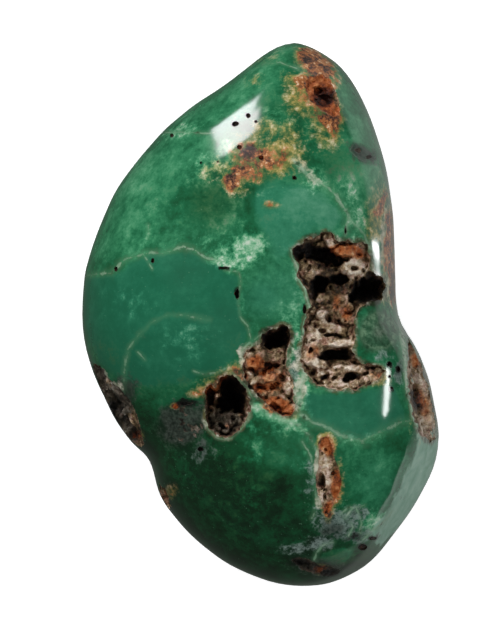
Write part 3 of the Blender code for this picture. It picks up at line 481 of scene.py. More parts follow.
def places_of(items, field):
    """The places of vertices or faces, as rows, in millimetres."""
    flat = np.empty(len(items) * 3)
    items.foreach_get(field, flat)
    return flat.reshape(-1, 3) / MM


def corners(mesh):
    return places_of(mesh.vertices, "co")


def face_middles(mesh):
    return places_of(mesh.polygons, "center")


def put_corners(mesh, places):
    mesh.vertices.foreach_set("co", (places * MM).ravel())
    mesh.update()


def smoothstep(low, high, value):
    t = np.clip((value - low) / (high - low), 0, 1)
    return t * t * (3 - 2 * t)


def wander(places, span, seed=0.0):
    """Smooth noise from -1 to 1 at each place, which changes over about span millimetres."""
    return np.array([noise.noise(Vector(p) / span + Vector((seed, 0, 0))) for p in places])


def cells(places, span, seed=0.0):
    """Distance to the nearest of scattered points about span millimetres apart, in spans."""
    return np.array([noise.voronoi(Vector(p) / span + Vector((seed, 0, 0)))[0][0] for p in places])


# The skin


def rounded_loop(points, steps):
    ring = np.array(points, float)
    before, after = np.roll(ring, 1, axis=0), np.roll(ring, -1, axis=0)
    later = np.roll(ring, -2, axis=0)
    curve = []
    for t in np.arange(steps) / steps:
        curve.append(
            0.5
            * (
                2 * ring
                + (after - before) * t
                + (2 * before - 5 * ring + 4 * after - later) * t**2
                + (3 * ring - before - 3 * after + later) * t**3
            )
        )
    return np.stack(curve, axis=1).reshape(-1, 2)


def smooth_wave(samples, waves):
    strengths = np.fft.rfft(samples)[: waves + 1] / len(samples)
    strengths[1:] *= 2
    orders = np.arange(waves + 1)

    def value(angle):
        return (strengths * np.exp(1j * np.multiply.outer(angle, orders))).real.sum(axis=-1)

    return value


def plan_radius():
    curve = rounded_loop(OUTLINE, CURVE_STEPS)
    angles = np.arctan2(curve[:, 1], curve[:, 0])
    even = np.linspace(0, 2 * math.pi, ANGLE_STEPS, endpoint=False)
    return np.interp(even, angles, np.hypot(*curve.T), period=2 * math.pi)


def shoulder_inset():
    degrees, insets = np.array(SHOULDER).T
    return np.interp(np.linspace(0, 360, SHOULDER_STEPS, endpoint=False), degrees, insets, period=360)


def skin_points(directions):
    """Where points of the unit sphere, given as rows, go on the stone's skin, in millimetres."""
    radii = plan_radius()
    exact, soft = smooth_wave(radii, OUTLINE_WAVES), smooth_wave(radii, SOFT_WAVES)
    square_above = smooth_wave(UPPER_SQUARENESS, SQUARENESS_WAVES)
    square_below = smooth_wave(LOWER_SQUARENESS, SQUARENESS_WAVES)
    inset = smooth_wave(shoulder_inset(), SHOULDER_WAVES)

    angle = np.arctan2(directions[:, 1] * LENGTH, directions[:, 0] * WIDTH)
    flat, rise = np.hypot(directions[:, 0], directions[:, 1]), np.abs(directions[:, 2])
    upper = directions[:, 2] > 0
    power = np.where(upper, square_above(angle), square_below(angle))
    reach = (flat**power + rise**power) ** (-1 / power)
    out, up = flat * reach, rise * reach
    edge = exact(angle)
    radius = out * (edge * (1 - up**2) + soft(angle) * up**2)
    x, y = radius * np.cos(angle), radius * np.sin(angle)

    dome = GIRDLE + up * (THICKNESS - GIRDLE)
    for cx, cy, height, spread in SWELLS:
        dome += up * height * np.exp(-((x - cx) ** 2 + (y - cy) ** 2) / (2 * spread**2))
    way_in = np.maximum(edge - radius, 0) / np.maximum(inset(angle), LEAST_INSET)
    facet = GIRDLE + FACET_RISE * np.sqrt(way_in**2 + 2 * FACET_BEND * way_in)
    rounding = SHOULDER_ROUND * np.minimum(1, up / ROUNDING_RUN)
    lower = (dome + facet - np.hypot(dome - facet, rounding)) / 2
    dome += (lower - dome) * np.clip(inset(angle) / LEAST_INSET, 0, 1)
    underside = GIRDLE - up * (GIRDLE + GROUND_OFF)
    return np.stack([x, y, np.where(upper, dome, underside)], axis=1)


def unit(places):
    return places / np.linalg.norm(places, axis=1, keepdims=True)


def cut_finer(ball, wanted):
    """Halves the faces of the ball where wanted says so of the place that each has on the stone."""
    mesh = ball.data
    middles = skin_points(unit(face_middles(mesh)))
    with editing():
        bpy.ops.mesh.select_all(action="DESELECT")
    mesh.polygons.foreach_set("select", wanted(middles))
    with editing():
        bpy.ops.mesh.subdivide(number_cuts=1)
    put_corners(mesh, unit(corners(mesh)))


def make_skin():
    """The polished outside with no vugs, finest where veins and stains cross it."""
    bpy.context.tool_settings.mesh_select_mode = (False, False, True)
    bpy.ops.mesh.primitive_cube_add(size=2)
    stone = bpy.context.object
    stone.name = "polished_stone"
    with editing():
        bpy.ops.mesh.subdivide(number_cuts=SKIN_CUTS)
        bpy.ops.transform.tosphere(value=1)
    for vein_reach, stain_reach in FINE_REACHES:
        cut_finer(stone, lambda places: (places[:, 2] > GIRDLE) & (
            (vein_distance(places) < vein_reach) | (stain_distance(places) < stain_reach)))
    put_corners(stone.data, skin_points(unit(corners(stone.data))))
    select_only(stone)
    polish = stone.modifiers.new("polish", "SMOOTH")
    polish.factor, polish.iterations = 0.5, POLISH_PASSES
    bpy.ops.object.modifier_apply(modifier=polish.name)
    stretch_to_box(stone.data)
    with editing():
        bpy.ops.mesh.select_all(action="SELECT")
        bpy.ops.mesh.quads_convert_to_tris()
    return stone


def stretch_to_box(mesh):
    """Scales and centres the skin, so that what is left above the rest face fills the solid's box."""
    low, high = (np.array(corner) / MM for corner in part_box(NODE))
    low[2] -= GROUND_OFF
    places = corners(mesh)
    now_low, now_high = places.min(axis=0), places.max(axis=0)
    put_corners(mesh, low + (places - now_low) * (high - low) / (now_high - now_low))


def segment_distance(px, py, points, closed=False):
    """Distance from each pixel place to a line through the given points."""
    ends = points[1:] + (points[:1] if closed else [])
    starts = points if closed else points[:-1]
    nearest = np.full(len(px), np.inf)
    for (ax, ay), (bx, by) in zip(starts, ends):
        length = (bx - ax) ** 2 + (by - ay) ** 2
        along = np.clip(((px - ax) * (bx - ax) + (py - ay) * (by - ay)) / length, 0, 1)
        nearest = np.minimum(nearest, np.hypot(px - ax - along * (bx - ax), py - ay - along * (by - ay)))
    return nearest


def spot(px, py, mark):
    """How far out of an oval mark each pixel place is, in the mark's own half sizes."""
    x, y, half_width, half_height, *turn, _ = mark
    angle = math.radians(sum(turn))
    c, s = math.cos(angle), math.sin(angle)
    across = ((px - x) * c + (py - y) * s) / half_width
    down = ((py - y) * c - (px - x) * s) / half_height
    return np.hypot(across, down)


def vein_distance(places):
    """Distance to the nearest vein, in photograph pixels."""
    px, py = to_pixels(places[:, 0], places[:, 1])
    return np.min([segment_distance(px, py, points) for _, _, points in VEINS], axis=0)


def stain_distance(places):
    """Distance to the nearest strong stain, in photograph pixels."""
    px, py = to_pixels(places[:, 0], places[:, 1])
    strong = [mark for name in FINE_MARKS for mark in MARKS[name] if mark[-1] > FINE_LIMIT]
    return np.min([np.maximum(spot(px, py, mark) - 1, 0) * min(mark[2:4]) for mark in strong], axis=0)


# The vugs


def inside(px, py, outline):
    """Whether each pixel place lies within a closed outline."""
    crossings = np.zeros(len(px), int)
    for (ax, ay), (bx, by) in zip(outline, outline[1:] + outline[:1]):
        spans = (ay > py) != (by > py)
        if ay != by:
            crossings += spans & (px < (bx - ax) * (py - ay) / (by - ay) + ax)
    return crossings % 2 == 1


def distance_within(px, py, outline):
    """Distance from each pixel place to a closed outline, negative outside it."""
    edge = segment_distance(px, py, outline, closed=True)
    return np.where(inside(px, py, outline), edge, -edge)


def pores(flat):
    """How deep in a pore each place lies, from 0 on the crust to 1 in the middle of a pore."""
    return smoothstep(0.40, 0.16, cells(flat, 0.62, 3)) * smoothstep(-0.1, 0.25, wander(flat, 1.6, 21))


def crust(flat):
    """Height of the crusty grain of the matrix, about nought, in millimetres downwards."""
    lumps = np.abs(wander(flat, 0.6, 5))
    grain = 0.5 * (0.2 - lumps) + 0.3 * wander(flat, 0.45, 7) + 0.10 * wander(flat, 0.22, 9)
    return grain + 0.40 * pores(flat) + 0.45 * wander(flat, 1.3, 31)


def vug_depth(x, y, vug):
    """Depth of a vug's floor below the skin at each place, in millimetres. Outside the vug it is negative."""
    flat = np.stack([x, y, np.zeros(len(x))], axis=1)
    edge = distance_within(*to_pixels(x, y), vug["outline"]) * PIXEL
    edge += min(1, vug["floor"]) * (0.28 * wander(flat, 0.9) + 0.18 * wander(flat, 0.35))

    px, py = to_pixels(x + 0.3 * wander(flat, 1.0, 41), y + 0.3 * wander(flat, 1.0, 51))
    floor = np.full(len(x), vug["floor"])
    uneven = 0.35 * wander(flat, 0.5, 91)
    for lx, ly, half_width, half_height, top in vug["lumps"]:
        cover = smoothstep(1.45, 0.7, np.hypot((px - lx) / half_width, (py - ly) / half_height) + uneven)
        floor += np.minimum(top - floor, 0) * cover
    for hx, hy, half_width, half_height, depth in vug["holes"]:
        cover = smoothstep(1.2, 0.6, np.hypot((px - hx) / half_width, (py - hy) / half_height) + uneven)
        floor += np.maximum(depth - floor, 0) * cover
    floor += vug["rough"] * crust(flat)
    slope = vug.get("slope", WALL_SLOPE)
    wall = edge * slope + vug["rough"] * 0.35 * wander(flat, 0.4, 61) * smoothstep(0, 0.25, edge)
    floor = np.maximum(floor, min(LEAST_DEPTH, vug["floor"]))
    return np.where(edge < 0, edge * WALL_SLOPE, np.minimum(wall, floor))


def height_finder(skin):
    """A function of x and y that gives the height of the upper face, in millimetres."""
    tree = BVHTree.FromObject(skin, bpy.context.evaluated_depsgraph_get())

    def height(x, y):
        hits = [tree.ray_cast(Vector((a, b, 2 * THICKNESS)) * MM, Vector((0, 0, -1)))[0] for a, b in zip(x, y)]
        return np.array([hit.z / MM if hit else GIRDLE for hit in hits])

    return height


def vug_cutter(name, vug, cell, height):
    """A plug that stands out of the skin, whose lower face is the vug's rough floor."""
    xs, ys = np.array([to_mm(px, py) for px, py in vug["outline"]]).T
    low = np.array([xs.min(), ys.min()]) - 0.5
    high = np.array([xs.max(), ys.max()]) + 0.5
    steps = np.ceil((high - low) / cell).astype(int)
    bpy.ops.mesh.primitive_grid_add(x_subdivisions=int(steps[0]), y_subdivisions=int(steps[1]), size=1)
    cutter = bpy.context.object
    cutter.name = name
    places = corners(cutter.data) * MM
    x = low[0] + (places[:, 0] + 0.5) * (high - low)[0]
    y = low[1] + (places[:, 1] + 0.5) * (high - low)[1]
    depth = vug_depth(x, y, vug)
    put_corners(cutter.data, np.stack([x, y, height(x, y) - depth], axis=1))
    outside = [all(depth[v] < -RIM_CLEARANCE for v in face.vertices) for face in cutter.data.polygons]
    cutter.data.polygons.foreach_set("select", outside)
    with editing():
        bpy.ops.mesh.delete(type="FACE")
        bpy.ops.mesh.select_all(action="SELECT")
        bpy.ops.mesh.extrude_region_move(TRANSFORM_OT_translate={"value": (0, 0, PLUG_HEIGHT * MM)})
        bpy.ops.mesh.select_all(action="SELECT")
        bpy.ops.mesh.normals_make_consistent(inside=False)
        bpy.ops.mesh.quads_convert_to_tris()
    return cutter


def pit_outline(pit, points=14):
    x, y, half_width, half_height, _ = pit
    turns = [2 * math.pi * step / points for step in range(points)]
    return [(x + half_width * math.cos(t), y + half_height * math.sin(t)) for t in turns]


def hollow_cutter(centre, half_sizes, detail):
    """A lumpy ball with a crusty surface."""
    bpy.ops.mesh.primitive_ico_sphere_add(subdivisions=detail, radius=1)
    ball = bpy.context.object
    directions = corners(ball.data) * MM
    swell = 1 + LUMPINESS * wander(directions + np.array(centre) * LUMP_SPAN, LUMP_SPAN)
    places = directions * swell[:, None] * np.array(half_sizes) + np.array(centre)
    crust = 0.45 * wander(places, 0.6) + 0.50 * (cells(places, 0.6) - 0.5)
    put_corners(ball.data, places - directions * crust[:, None])
    return ball


def carve(stone, cutters):
    """Cuts the cutters out of the stone."""
    select_only(stone)
    group = bpy.data.collections.new("cutters")
    bpy.context.scene.collection.children.link(group)
    for cutter in cutters:
        for home in list(cutter.users_collection):
            home.objects.unlink(cutter)
        group.objects.link(cutter)
    step = stone.modifiers.new("vugs", "BOOLEAN")
    step.show_viewport = False  # so that it is worked out once, when it is applied
    step.operation, step.operand_type, step.collection, step.solver = "DIFFERENCE", "COLLECTION", group, "EXACT"
    bpy.ops.object.modifier_apply(modifier=step.name)
    for cutter in cutters:
        bpy.data.objects.remove(cutter)
    bpy.data.collections.remove(group)


def grind_back(stone):
    """Cuts the underside off flat at the rest face."""
    select_only(stone)
    with editing():
        bpy.ops.mesh.select_all(action="SELECT")
        bpy.ops.mesh.bisect(plane_co=(0, 0, 0), plane_no=(0, 0, -1), use_fill=True, clear_outer=True, threshold=1e-6)
        bpy.ops.mesh.select_all(action="SELECT")
        bpy.ops.mesh.quads_convert_to_tris()


# What the material reads from the mesh


def add_values(mesh, name, values, domain="POINT"):
    mesh.attributes.new(name, "FLOAT", domain).data.foreach_set("value", values.astype(np.float32))


def neighbour_mean(mesh, values, passes):
    """The values, each blended with its neighbours' along the edges so many times."""
    ends = np.empty(len(mesh.edges) * 2, int)
    mesh.edges.foreach_get("vertices", ends)
    a, b = ends.reshape(-1, 2).T
    count = np.bincount(a, minlength=len(values)) + np.bincount(b, minlength=len(values)) + 1
    for _ in range(passes):
        total = values + np.bincount(a, values[b], len(values)) + np.bincount(b, values[a], len(values))
        values = total / count
    return values


def depth_below(skin_tree, places):
    """How far each place lies from the polished skin, in millimetres."""
    depth = np.array([skin_tree.find_nearest(Vector(p) * MM)[3] for p in places]) / MM
    depth[places[:, 2] < GROUND_BAND] = 0
    return depth


def mark_up(stone, skin_tree):
    """Writes the depth below the skin, the grain, the marks and the veins into the mesh; the matrix colour turns the
    depth and the bumps and hollows of the crust into painted shade and light.
    """
    mesh = stone.data
    places = corners(mesh)
    from_above = smoothstep(GIRDLE - 3.0, GIRDLE + 0.5, places[:, 2])

    depth = depth_below(skin_tree, places)
    add_values(mesh, "depth", depth)
    # How far each place stands above or below its near and its broader ground, which the matrix colour paints as light
    # and shade.
    nearby = neighbour_mean(mesh, depth, RELIEF_PASSES)
    add_values(mesh, "relief", nearby - depth)
    add_values(mesh, "rise", neighbour_mean(mesh, nearby, RISE_PASSES) - nearby)
    rock = depth > PORE_DEPTH
    flat = places[rock] * (1, 1, 0)
    pore = np.zeros(len(places))
    pore[rock] = pores(flat)
    add_values(mesh, "pore", pore)

    sizes = np.empty(len(mesh.polygons), int)
    mesh.polygons.foreach_get("loop_total", sizes)
    rough = depth_below(skin_tree, face_middles(mesh)) > MATRIX_DEPTH
    add_values(mesh, "matrix", np.repeat(rough, sizes), "CORNER")

    across, down = wander(places, 1.5, 71), wander(places, 1.5, 81)
    px, py = to_pixels(places[:, 0] + WAVER * across, places[:, 1] + WAVER * down)
    for name, marks in MARKS.items():
        total = np.zeros(len(px))
        for mark in marks:
            total = np.maximum(total, mark[-1] * smoothstep(1.7, 0.2, spot(px, py, mark)))
        for pane, soft, strength, outline in PANES:
            if pane == name:
                edge = distance_within(px, py, outline)
                total = np.maximum(total, strength * smoothstep(-soft / 2, soft / 2, edge))
        # The pits are painted dark: painted shade in them.
        for pit in PITS if name == "dark" else []:
            total = np.maximum(total, 0.9 * smoothstep(1.6, 1.0, spot(*to_pixels(*places.T[:2]), pit)))
        total *= from_above
        for stain, centre, reach in SIDE_STAINS:
            if stain == name:
                away = np.linalg.norm(places - np.array(centre), axis=1) / reach
                total = np.maximum(total, smoothstep(1.2, 0.3, away))
        add_values(mesh, name, total)

    px, py = to_pixels(places[:, 0] + 0.5 * WAVER * across, places[:, 1] + 0.5 * WAVER * down)
    vein = np.full(len(px), VEIN_REACH)
    for half_width, strength, points in VEINS:
        away = segment_distance(px, py, points) / half_width
        vein = np.minimum(vein, away + (1 - strength) * 1.6)
    add_values(mesh, "vein", np.where(from_above > 0.5, vein, VEIN_REACH))
    deep = [vug["outline"] for vug in VUGS.values() if vug["floor"] > DEEP_FLOOR]
    rim = np.min([segment_distance(px, py, outline, closed=True) for outline in deep], axis=0)
    add_values(mesh, "rim", np.where(from_above > 0.5, np.minimum(rim, RIM_REACH), RIM_REACH))
    ring = np.hypot(px - NODULE_X, py - NODULE_Y) / NODULE_RADIUS
    add_values(mesh, "nodule", np.where(from_above > 0.5, ring, RING_REACH))


# The material


class Value:
    """A number that varies over the surface. Arithmetic on it adds Math nodes."""

    def __init__(self, graph, socket):
        self.graph, self.socket = graph, socket

    def __add__(self, other):
        return self.graph.math("ADD", self, other)

    def __sub__(self, other):
        return self.graph.math("SUBTRACT", self, other)

    def __rsub__(self, other):
        return self.graph.math("SUBTRACT", other, self)

    def __mul__(self, other):
        return self.graph.math("MULTIPLY", self, other)

    __radd__ = __add__
    __rmul__ = __mul__


class Graph:
    """The nodes of one material."""

    def __init__(self, name):
        self.material = bpy.data.materials.new(name)
        self.material.use_nodes = True
        self.tree = self.material.node_tree
        self.tree.nodes.clear()

    def node(self, kind, settings=None, sockets=None):
        """Adds a node, with its settings first and then the values or links of its sockets."""
        made = self.tree.nodes.new(kind)
        for key, value in (settings or {}).items():
            if key == "stops":
                ramp = made.color_ramp
                while len(ramp.elements) < len(value):
                    ramp.elements.new(0.5)
                for element, (position, colour) in zip(ramp.elements, value):
                    element.position, element.color = position, colour
            else:
                setattr(made, key, value)
        for key, value in (sockets or {}).items():
            socket = made.inputs[key]
            if isinstance(value, Value):
                self.tree.links.new(value.socket, socket)
            else:
                socket.default_value = value
        return made

    def value(self, node, output=0):
        return Value(self, node.outputs[output])

    def math(self, operation, *inputs):
        return self.value(self.node("ShaderNodeMath", {"operation": operation}, dict(enumerate(inputs))))

    def step(self, low, high, value):
        """0 below low and 1 above high, with a soft step between."""
        sockets = {"Value": value, "From Min": low, "From Max": high}
        return self.value(self.node("ShaderNodeMapRange", {"interpolation_type": "SMOOTHSTEP"}, sockets))

    def read(self, name):
        return self.value(self.node("ShaderNodeAttribute", {"attribute_name": name}), "Fac")

    def grain(self, span, detail=2.0, rough=0.5, warp=0.0, shift=(0, 0, 0)):
        """Noise about nought, mostly from -1 to 1, whose lumps are about span millimetres wide."""
        place = self.node("ShaderNodeMapping", sockets={"Vector": self.place, "Location": shift})
        sockets = {"Vector": self.value(place), "Scale": 1 / (span * MM), "Detail": detail, "Roughness": rough}
        return (self.value(self.node("ShaderNodeTexNoise", sockets=sockets | {"Distortion": warp}), "Fac") - 0.5) * 4

    def mix(self, amount, first, second):
        made = self.node("ShaderNodeMix", {"data_type": "RGBA"}, {0: amount, 6: first, 7: second})
        return self.value(made, 2)

    def ramp(self, amount, *stops):
        """A colour ramp. Each stop is its position and a screen colour."""
        stops = [(position, colour(*screen)) for position, *screen in stops]
        return self.value(self.node("ShaderNodeValToRGB", {"stops": stops}, {"Fac": amount}))


def colour(red, green, blue):
    """A colour given as it shows on a screen, from 0 to 255."""
    channels = np.array([red, green, blue]) / 255
    linear = np.where(channels < 0.04045, channels / 12.92, ((channels + 0.055) / 1.055) ** 2.4)
    return (*linear.tolist(), 1)


def chalcedony_colour(g, marks):
    """Green of the polished face, with its clouds, stains and veins, and painted light and shade: lighter above,
    darker at the bottom, pale on the lower right side as a painted reflection, and dark over pits.
    """
    broad, cloud = g.grain(6.0, 4, 0.55, 0.3), g.grain(2.2, 6, 0.62, 0.3)
    moss, fine = g.grain(0.75, 5, 0.68, 0.2), g.grain(0.3, 3, 0.65)
    tint, speck = g.grain(1.6, 4, 0.6, 0.4, (0.02, 0, 0)), g.grain(0.26, 1, 0.5, 0, (0.01, 0.02, 0))
    ragged = cloud * 0.30 + moss * 0.26 + fine * 0.08

    def marked(name, low, high, spread=1.0):
        """A mark's ragged cover: 0 where the mark is absent, whatever the noise."""
        return g.step(low, high, marks[name] + ragged * spread) * g.step(0.03, 0.25, marks[name])

    pane = g.step(0.2, 0.8, marks["teal"])
    mottle = broad * 0.08 + cloud * 0.15 + moss * 0.09 + fine * 0.04
    # Lighter above and darker at the bottom: partly the stone's own tone, partly painted light and shade.
    tone = 0.48 + marks["light"] * 0.15 + marks["lens"] * 0.11 - marks["deep"] * 0.28
    tone = tone + mottle * (1 - pane * 0.65) * (1 - marks["lens"] * 0.6)
    tone = tone + marked("pale", 0.25, 1.15, 1.3) * (0.30 + moss * 0.14)
    green = g.ramp(tone, (0.00, 7, 22, 10), (0.18, 13, 47, 24), (0.34, 18, 76, 43), (0.48, 27, 102, 65),
                   (0.60, 50, 130, 88), (0.72, 82, 158, 114), (0.86, 138, 190, 152), (1.0, 206, 222, 204))
    blue = g.ramp(tone, (0.20, 12, 62, 42), (0.47, 28, 103, 75), (0.60, 48, 128, 97), (0.80, 112, 172, 142),
                  (1.0, 206, 222, 208))
    green = g.mix(pane * 0.8 + marks["lens"] * 0.8, green, blue)
    green = g.mix(marked("olive", 0.3, 1.1, 1.6) * 0.5, green, colour(64, 84, 42))
    # Painted reflection: the lower right side painted pale, as if it mirrored a white room.
    painted_reflection_colour = g.mix(g.step(-1.2, 1.2, cloud), colour(106, 168, 138), colour(168, 210, 188))
    green = g.mix(marked("veiled", 0.2, 0.8, 0.5), green, painted_reflection_colour)
    green = g.mix(g.step(0.95, 1.15, speck) * 0.25, green, colour(120, 175, 140))

    slate = g.mix(g.step(-0.8, 0.9, moss + fine * 0.5), colour(28, 44, 38), colour(146, 166, 158))
    green = g.mix(marked("slate", 0.25, 0.85, 1.5) * 0.85, green, slate)
    grey = g.mix(g.step(-0.8, 1.1, moss * 0.6 + fine * 0.7), colour(10, 13, 10), colour(76, 86, 76))
    green = g.mix(marked("grey", 0.40, 1.0, 1.2) * 0.9, green, grey)
    # Dark marks: dark stone, and painted shade over pits and holes.
    green = g.mix(marked("dark", 0.40, 0.85) * 0.95, green, colour(12, 16, 10))
    cream = g.mix(g.step(-0.7, 0.7, moss), colour(120, 130, 100), colour(220, 216, 196))
    green = g.mix(marked("cream", 0.45, 0.95, 1.3) * 0.85, green, cream)
    ochre = g.ramp(tint * 0.2 + moss * 0.34 + 0.5, (0.2, 66, 80, 40), (0.40, 118, 126, 68), (0.54, 176, 158, 88),
                   (0.76, 222, 212, 172))
    green = g.mix(marked("ochre", 0.25, 0.95, 1.3) * 0.85, green, ochre)
    green = g.mix(marked("rust", 0.05, 0.70) * 0.6, green, ochre)
    rust = g.ramp(tint * 0.22 + moss * 0.44 + fine * 0.24 + 0.46 - marks["grey"] * 0.34, (0.18, 44, 32, 28),
                  (0.36, 98, 66, 50), (0.50, 150, 92, 54), (0.63, 182, 118, 68), (0.75, 200, 158, 112),
                  (0.92, 228, 212, 186))
    green = g.mix(marked("rust", 0.42, 0.80, 1.6), green, rust)

    rusty = g.mix(g.step(-0.5, 0.7, moss), colour(104, 96, 62), cream)
    halo = g.mix(g.step(-0.5, 0.5, tint), colour(40, 44, 26), rusty)
    green = g.mix(g.step(5.0, 0.5, marks["rim"] + ragged * 6.5) * 0.8, green, halo)

    ring = marks["nodule"] + cloud * 0.12 + moss * 0.12
    inner = g.ramp(tone * 0.9 + moss * 0.18, (0.10, 22, 44, 28), (0.40, 54, 92, 66), (0.62, 98, 134, 104),
                   (0.86, 172, 190, 162))
    centre = g.mix(g.step(-0.8, 0.8, moss), colour(50, 60, 50), colour(128, 134, 122))
    inner = g.mix(g.step(0.55, 0.10, ring) * 0.7, inner, centre)
    band = g.step(0.62, 0.76, ring) * g.step(0.92, 0.80, ring) * g.step(-0.6, 0.6, moss)
    inner = g.mix(band * 0.7, inner, colour(118, 150, 118))
    green = g.mix(g.step(1.20, 0.80, ring) * 0.9, green, inner)

    line = marks["vein"] + cloud * 1.1 + moss * 1.5
    green = g.mix(g.step(5.0, 0.5, line) * 0.30, green, colour(96, 146, 106))
    vein = g.mix(g.step(-0.5, 0.8, moss), colour(120, 164, 130), colour(200, 214, 192))
    vein = g.mix(g.step(-0.1, -0.6, tint) * 0.9, vein, colour(40, 56, 32))
    return g.mix(g.step(1.6, 0.1, line) * 0.75, green, vein)


def matrix_colour(g, marks):
    """Iron-stained crust of the vugs, with painted light and shade: lighter on bumps and higher ground, darker in
    hollows, pores and the dark marks, and near black where the floor is deep.
    """
    lump, moss, fine = g.grain(1.1, 4, 0.6, 0.4), g.grain(0.45, 4, 0.65, 0.5), g.grain(0.2, 3, 0.65)
    tint = g.grain(0.8, 3, 0.6, 0.4, (0.02, 0, 0))
    ragged = lump * 0.22 + moss * 0.2
    smooth = g.step(0.9, 1.4, marks["rust"])
    tone = 0.53 + lump * 0.16 + (moss * 0.18 + fine * 0.07) * (1 - smooth * 0.5)
    # Painted light and shade: bumps and higher ground lighter, hollows and lower ground darker.
    tone = tone + g.step(0.0, 0.35, marks["relief"]) * 0.09 - g.step(0.0, -0.30, marks["relief"]) * 0.13
    tone = tone + g.step(0.0, 0.6, marks["rise"]) * 0.07 - g.step(0.0, -0.6, marks["rise"]) * 0.16
    tone = tone + g.step(0.2, 0.9, marks["cream"] + ragged * 0.6) * 0.15
    # Painted shade: the dark marks, mostly over the vugs' holes, and the pores darken the crust.
    tone = tone - g.step(0.3, 1.1, marks["dark"] + ragged * 0.5) * 0.30 - marks["pore"] * 0.14
    brown = g.ramp(tone, (0.20, 12, 9, 5), (0.36, 56, 44, 27), (0.50, 114, 94, 66), (0.64, 176, 152, 120),
                   (0.84, 236, 224, 204))
    pink = g.ramp(tone, (0.20, 22, 12, 9), (0.38, 84, 52, 38), (0.54, 160, 118, 98), (0.80, 230, 206, 192))
    orange = g.ramp(tone, (0.20, 30, 11, 6), (0.36, 96, 42, 20), (0.54, 162, 86, 40), (0.70, 192, 124, 76),
                    (0.88, 228, 190, 140))
    grey = g.ramp(tone, (0.20, 9, 9, 7), (0.50, 44, 44, 38), (0.70, 92, 90, 82), (0.90, 170, 166, 156))
    crust = g.mix(g.step(-0.1, 0.5, tint) * 0.8, brown, pink)
    crust = g.mix(g.step(-0.7, -1.1, tint) * 0.6, crust, colour(88, 98, 56))
    crust = g.mix(g.step(0.35, 0.75, marks["grey"] + ragged) * 0.85, crust, grey)
    crust = g.mix(g.step(0.35, 0.80, marks["rust"] + ragged), crust, orange)
    # Painted shade: near black where the floor lies deep.
    return g.mix(g.step(2.4, 5.0, marks["depth"]) * 0.95, crust, colour(5, 4, 3))


def stone_material():
    """Polished chalcedony, with rough matrix where the vugs open."""
    g = Graph("chrysoprase")
    g.place = g.value(g.node("ShaderNodeTexCoord"), "Object")
    others = ("vein", "nodule", "rim", "depth", "relief", "rise", "pore", "matrix")
    marks = {name: g.read(name) for name in (*MARKS, *others)}

    polish = g.grain(3.0, 2, 0.5, shift=(0.05, 0, 0))
    soft = g.node("ShaderNodeBump", sockets={"Height": polish, "Strength": 0.03, "Distance": 0.05 * MM})
    dull = g.step(0.4, 0.9, marks["grey"]) * 0.22 + g.step(0.4, 0.9, marks["rust"]) * 0.12
    green = g.node("ShaderNodeBsdfPrincipled", sockets={
        "Base Color": chalcedony_colour(g, marks), "Roughness": dull + 0.12, "Normal": g.value(soft), "IOR": 1.54,
    })

    crust = g.grain(0.16, 4, 0.7, 0.3)
    rough = g.node("ShaderNodeBump", sockets={"Height": crust, "Strength": 0.7, "Distance": 0.04 * MM})
    rock = g.node("ShaderNodeBsdfPrincipled", sockets={
        "Base Color": matrix_colour(g, marks), "Roughness": 0.65 + 0.2 * g.grain(0.3, 2), "Normal": g.value(rough),
        "IOR": 1.5,
    })

    both = g.node("ShaderNodeMixShader", sockets={0: marks["matrix"], 1: g.value(green), 2: g.value(rock)})
    g.node("ShaderNodeOutputMaterial", sockets={"Surface": g.value(both)})
    return g.material


def make_stone():
    stone = make_skin()
    uncut = stone.copy()
    uncut.data = stone.data.copy()
    bpy.context.scene.collection.objects.link(uncut)
    height = height_finder(uncut)
    skin_tree = BVHTree.FromObject(uncut, bpy.context.evaluated_depsgraph_get())
    cutters = [vug_cutter(name, vug, VUG_CELL, height) for name, vug in VUGS.items()]
    for number, pit in enumerate(PITS):
        vug = dict(rough=0.1, floor=pit[4], outline=pit_outline(pit), lumps=[], holes=[])
        cutters.append(vug_cutter(f"pit_{number}", vug, PIT_CELL, height))
    cutters += [hollow_cutter(*hollow) for hollow in HOLLOWS]
    bpy.data.objects.remove(uncut)
    carve(stone, cutters)
    grind_back(stone)
    mark_up(stone, skin_tree)
    stone.data.materials.clear()
    stone.data.materials.append(stone_material())
    select_only(stone)
    bpy.ops.object.shade_smooth_by_angle(angle=math.radians(SHARPEST_SMOOTH))
    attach(stone, "root")
    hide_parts(NODE)
    return skin_tree


# The studio

FLOOR_SIZE = 2.4
FLOOR_GAP = 0.02  # between the floor and the rest face, so that the two don't lie in one plane
CAMERA_HEIGHT = 1500.0
SENSOR = 36.0

# Three panes of one window, which the polish mirrors as one highlight: colour, size, place in the window, in metres
KEY_PANES = [
    ("key_lower_pane", (1.0, 0.91, 0.94), (0.115, 0.19), (-0.0125, 0.035)),
    ("key_middle_pane", (0.98, 0.93, 0.98), (0.095, 0.13), (-0.0025, -0.125)),
    ("key_upper_pane", (0.95, 0.96, 1.0), (0.055, 0.13), (0.0175, -0.255)),
]
KEY_BRIGHTNESS = 50.0  # watts a square metre
# Where the polish mirrors each light to the camera, in photograph pixels, and how far off the skin it is, in metres
KEY_SPOT, GLINT_SPOT, WEDGE_SPOT = (237, 129, 0.6), (388.5, 390, 0.03), (375, 247, 0.03)


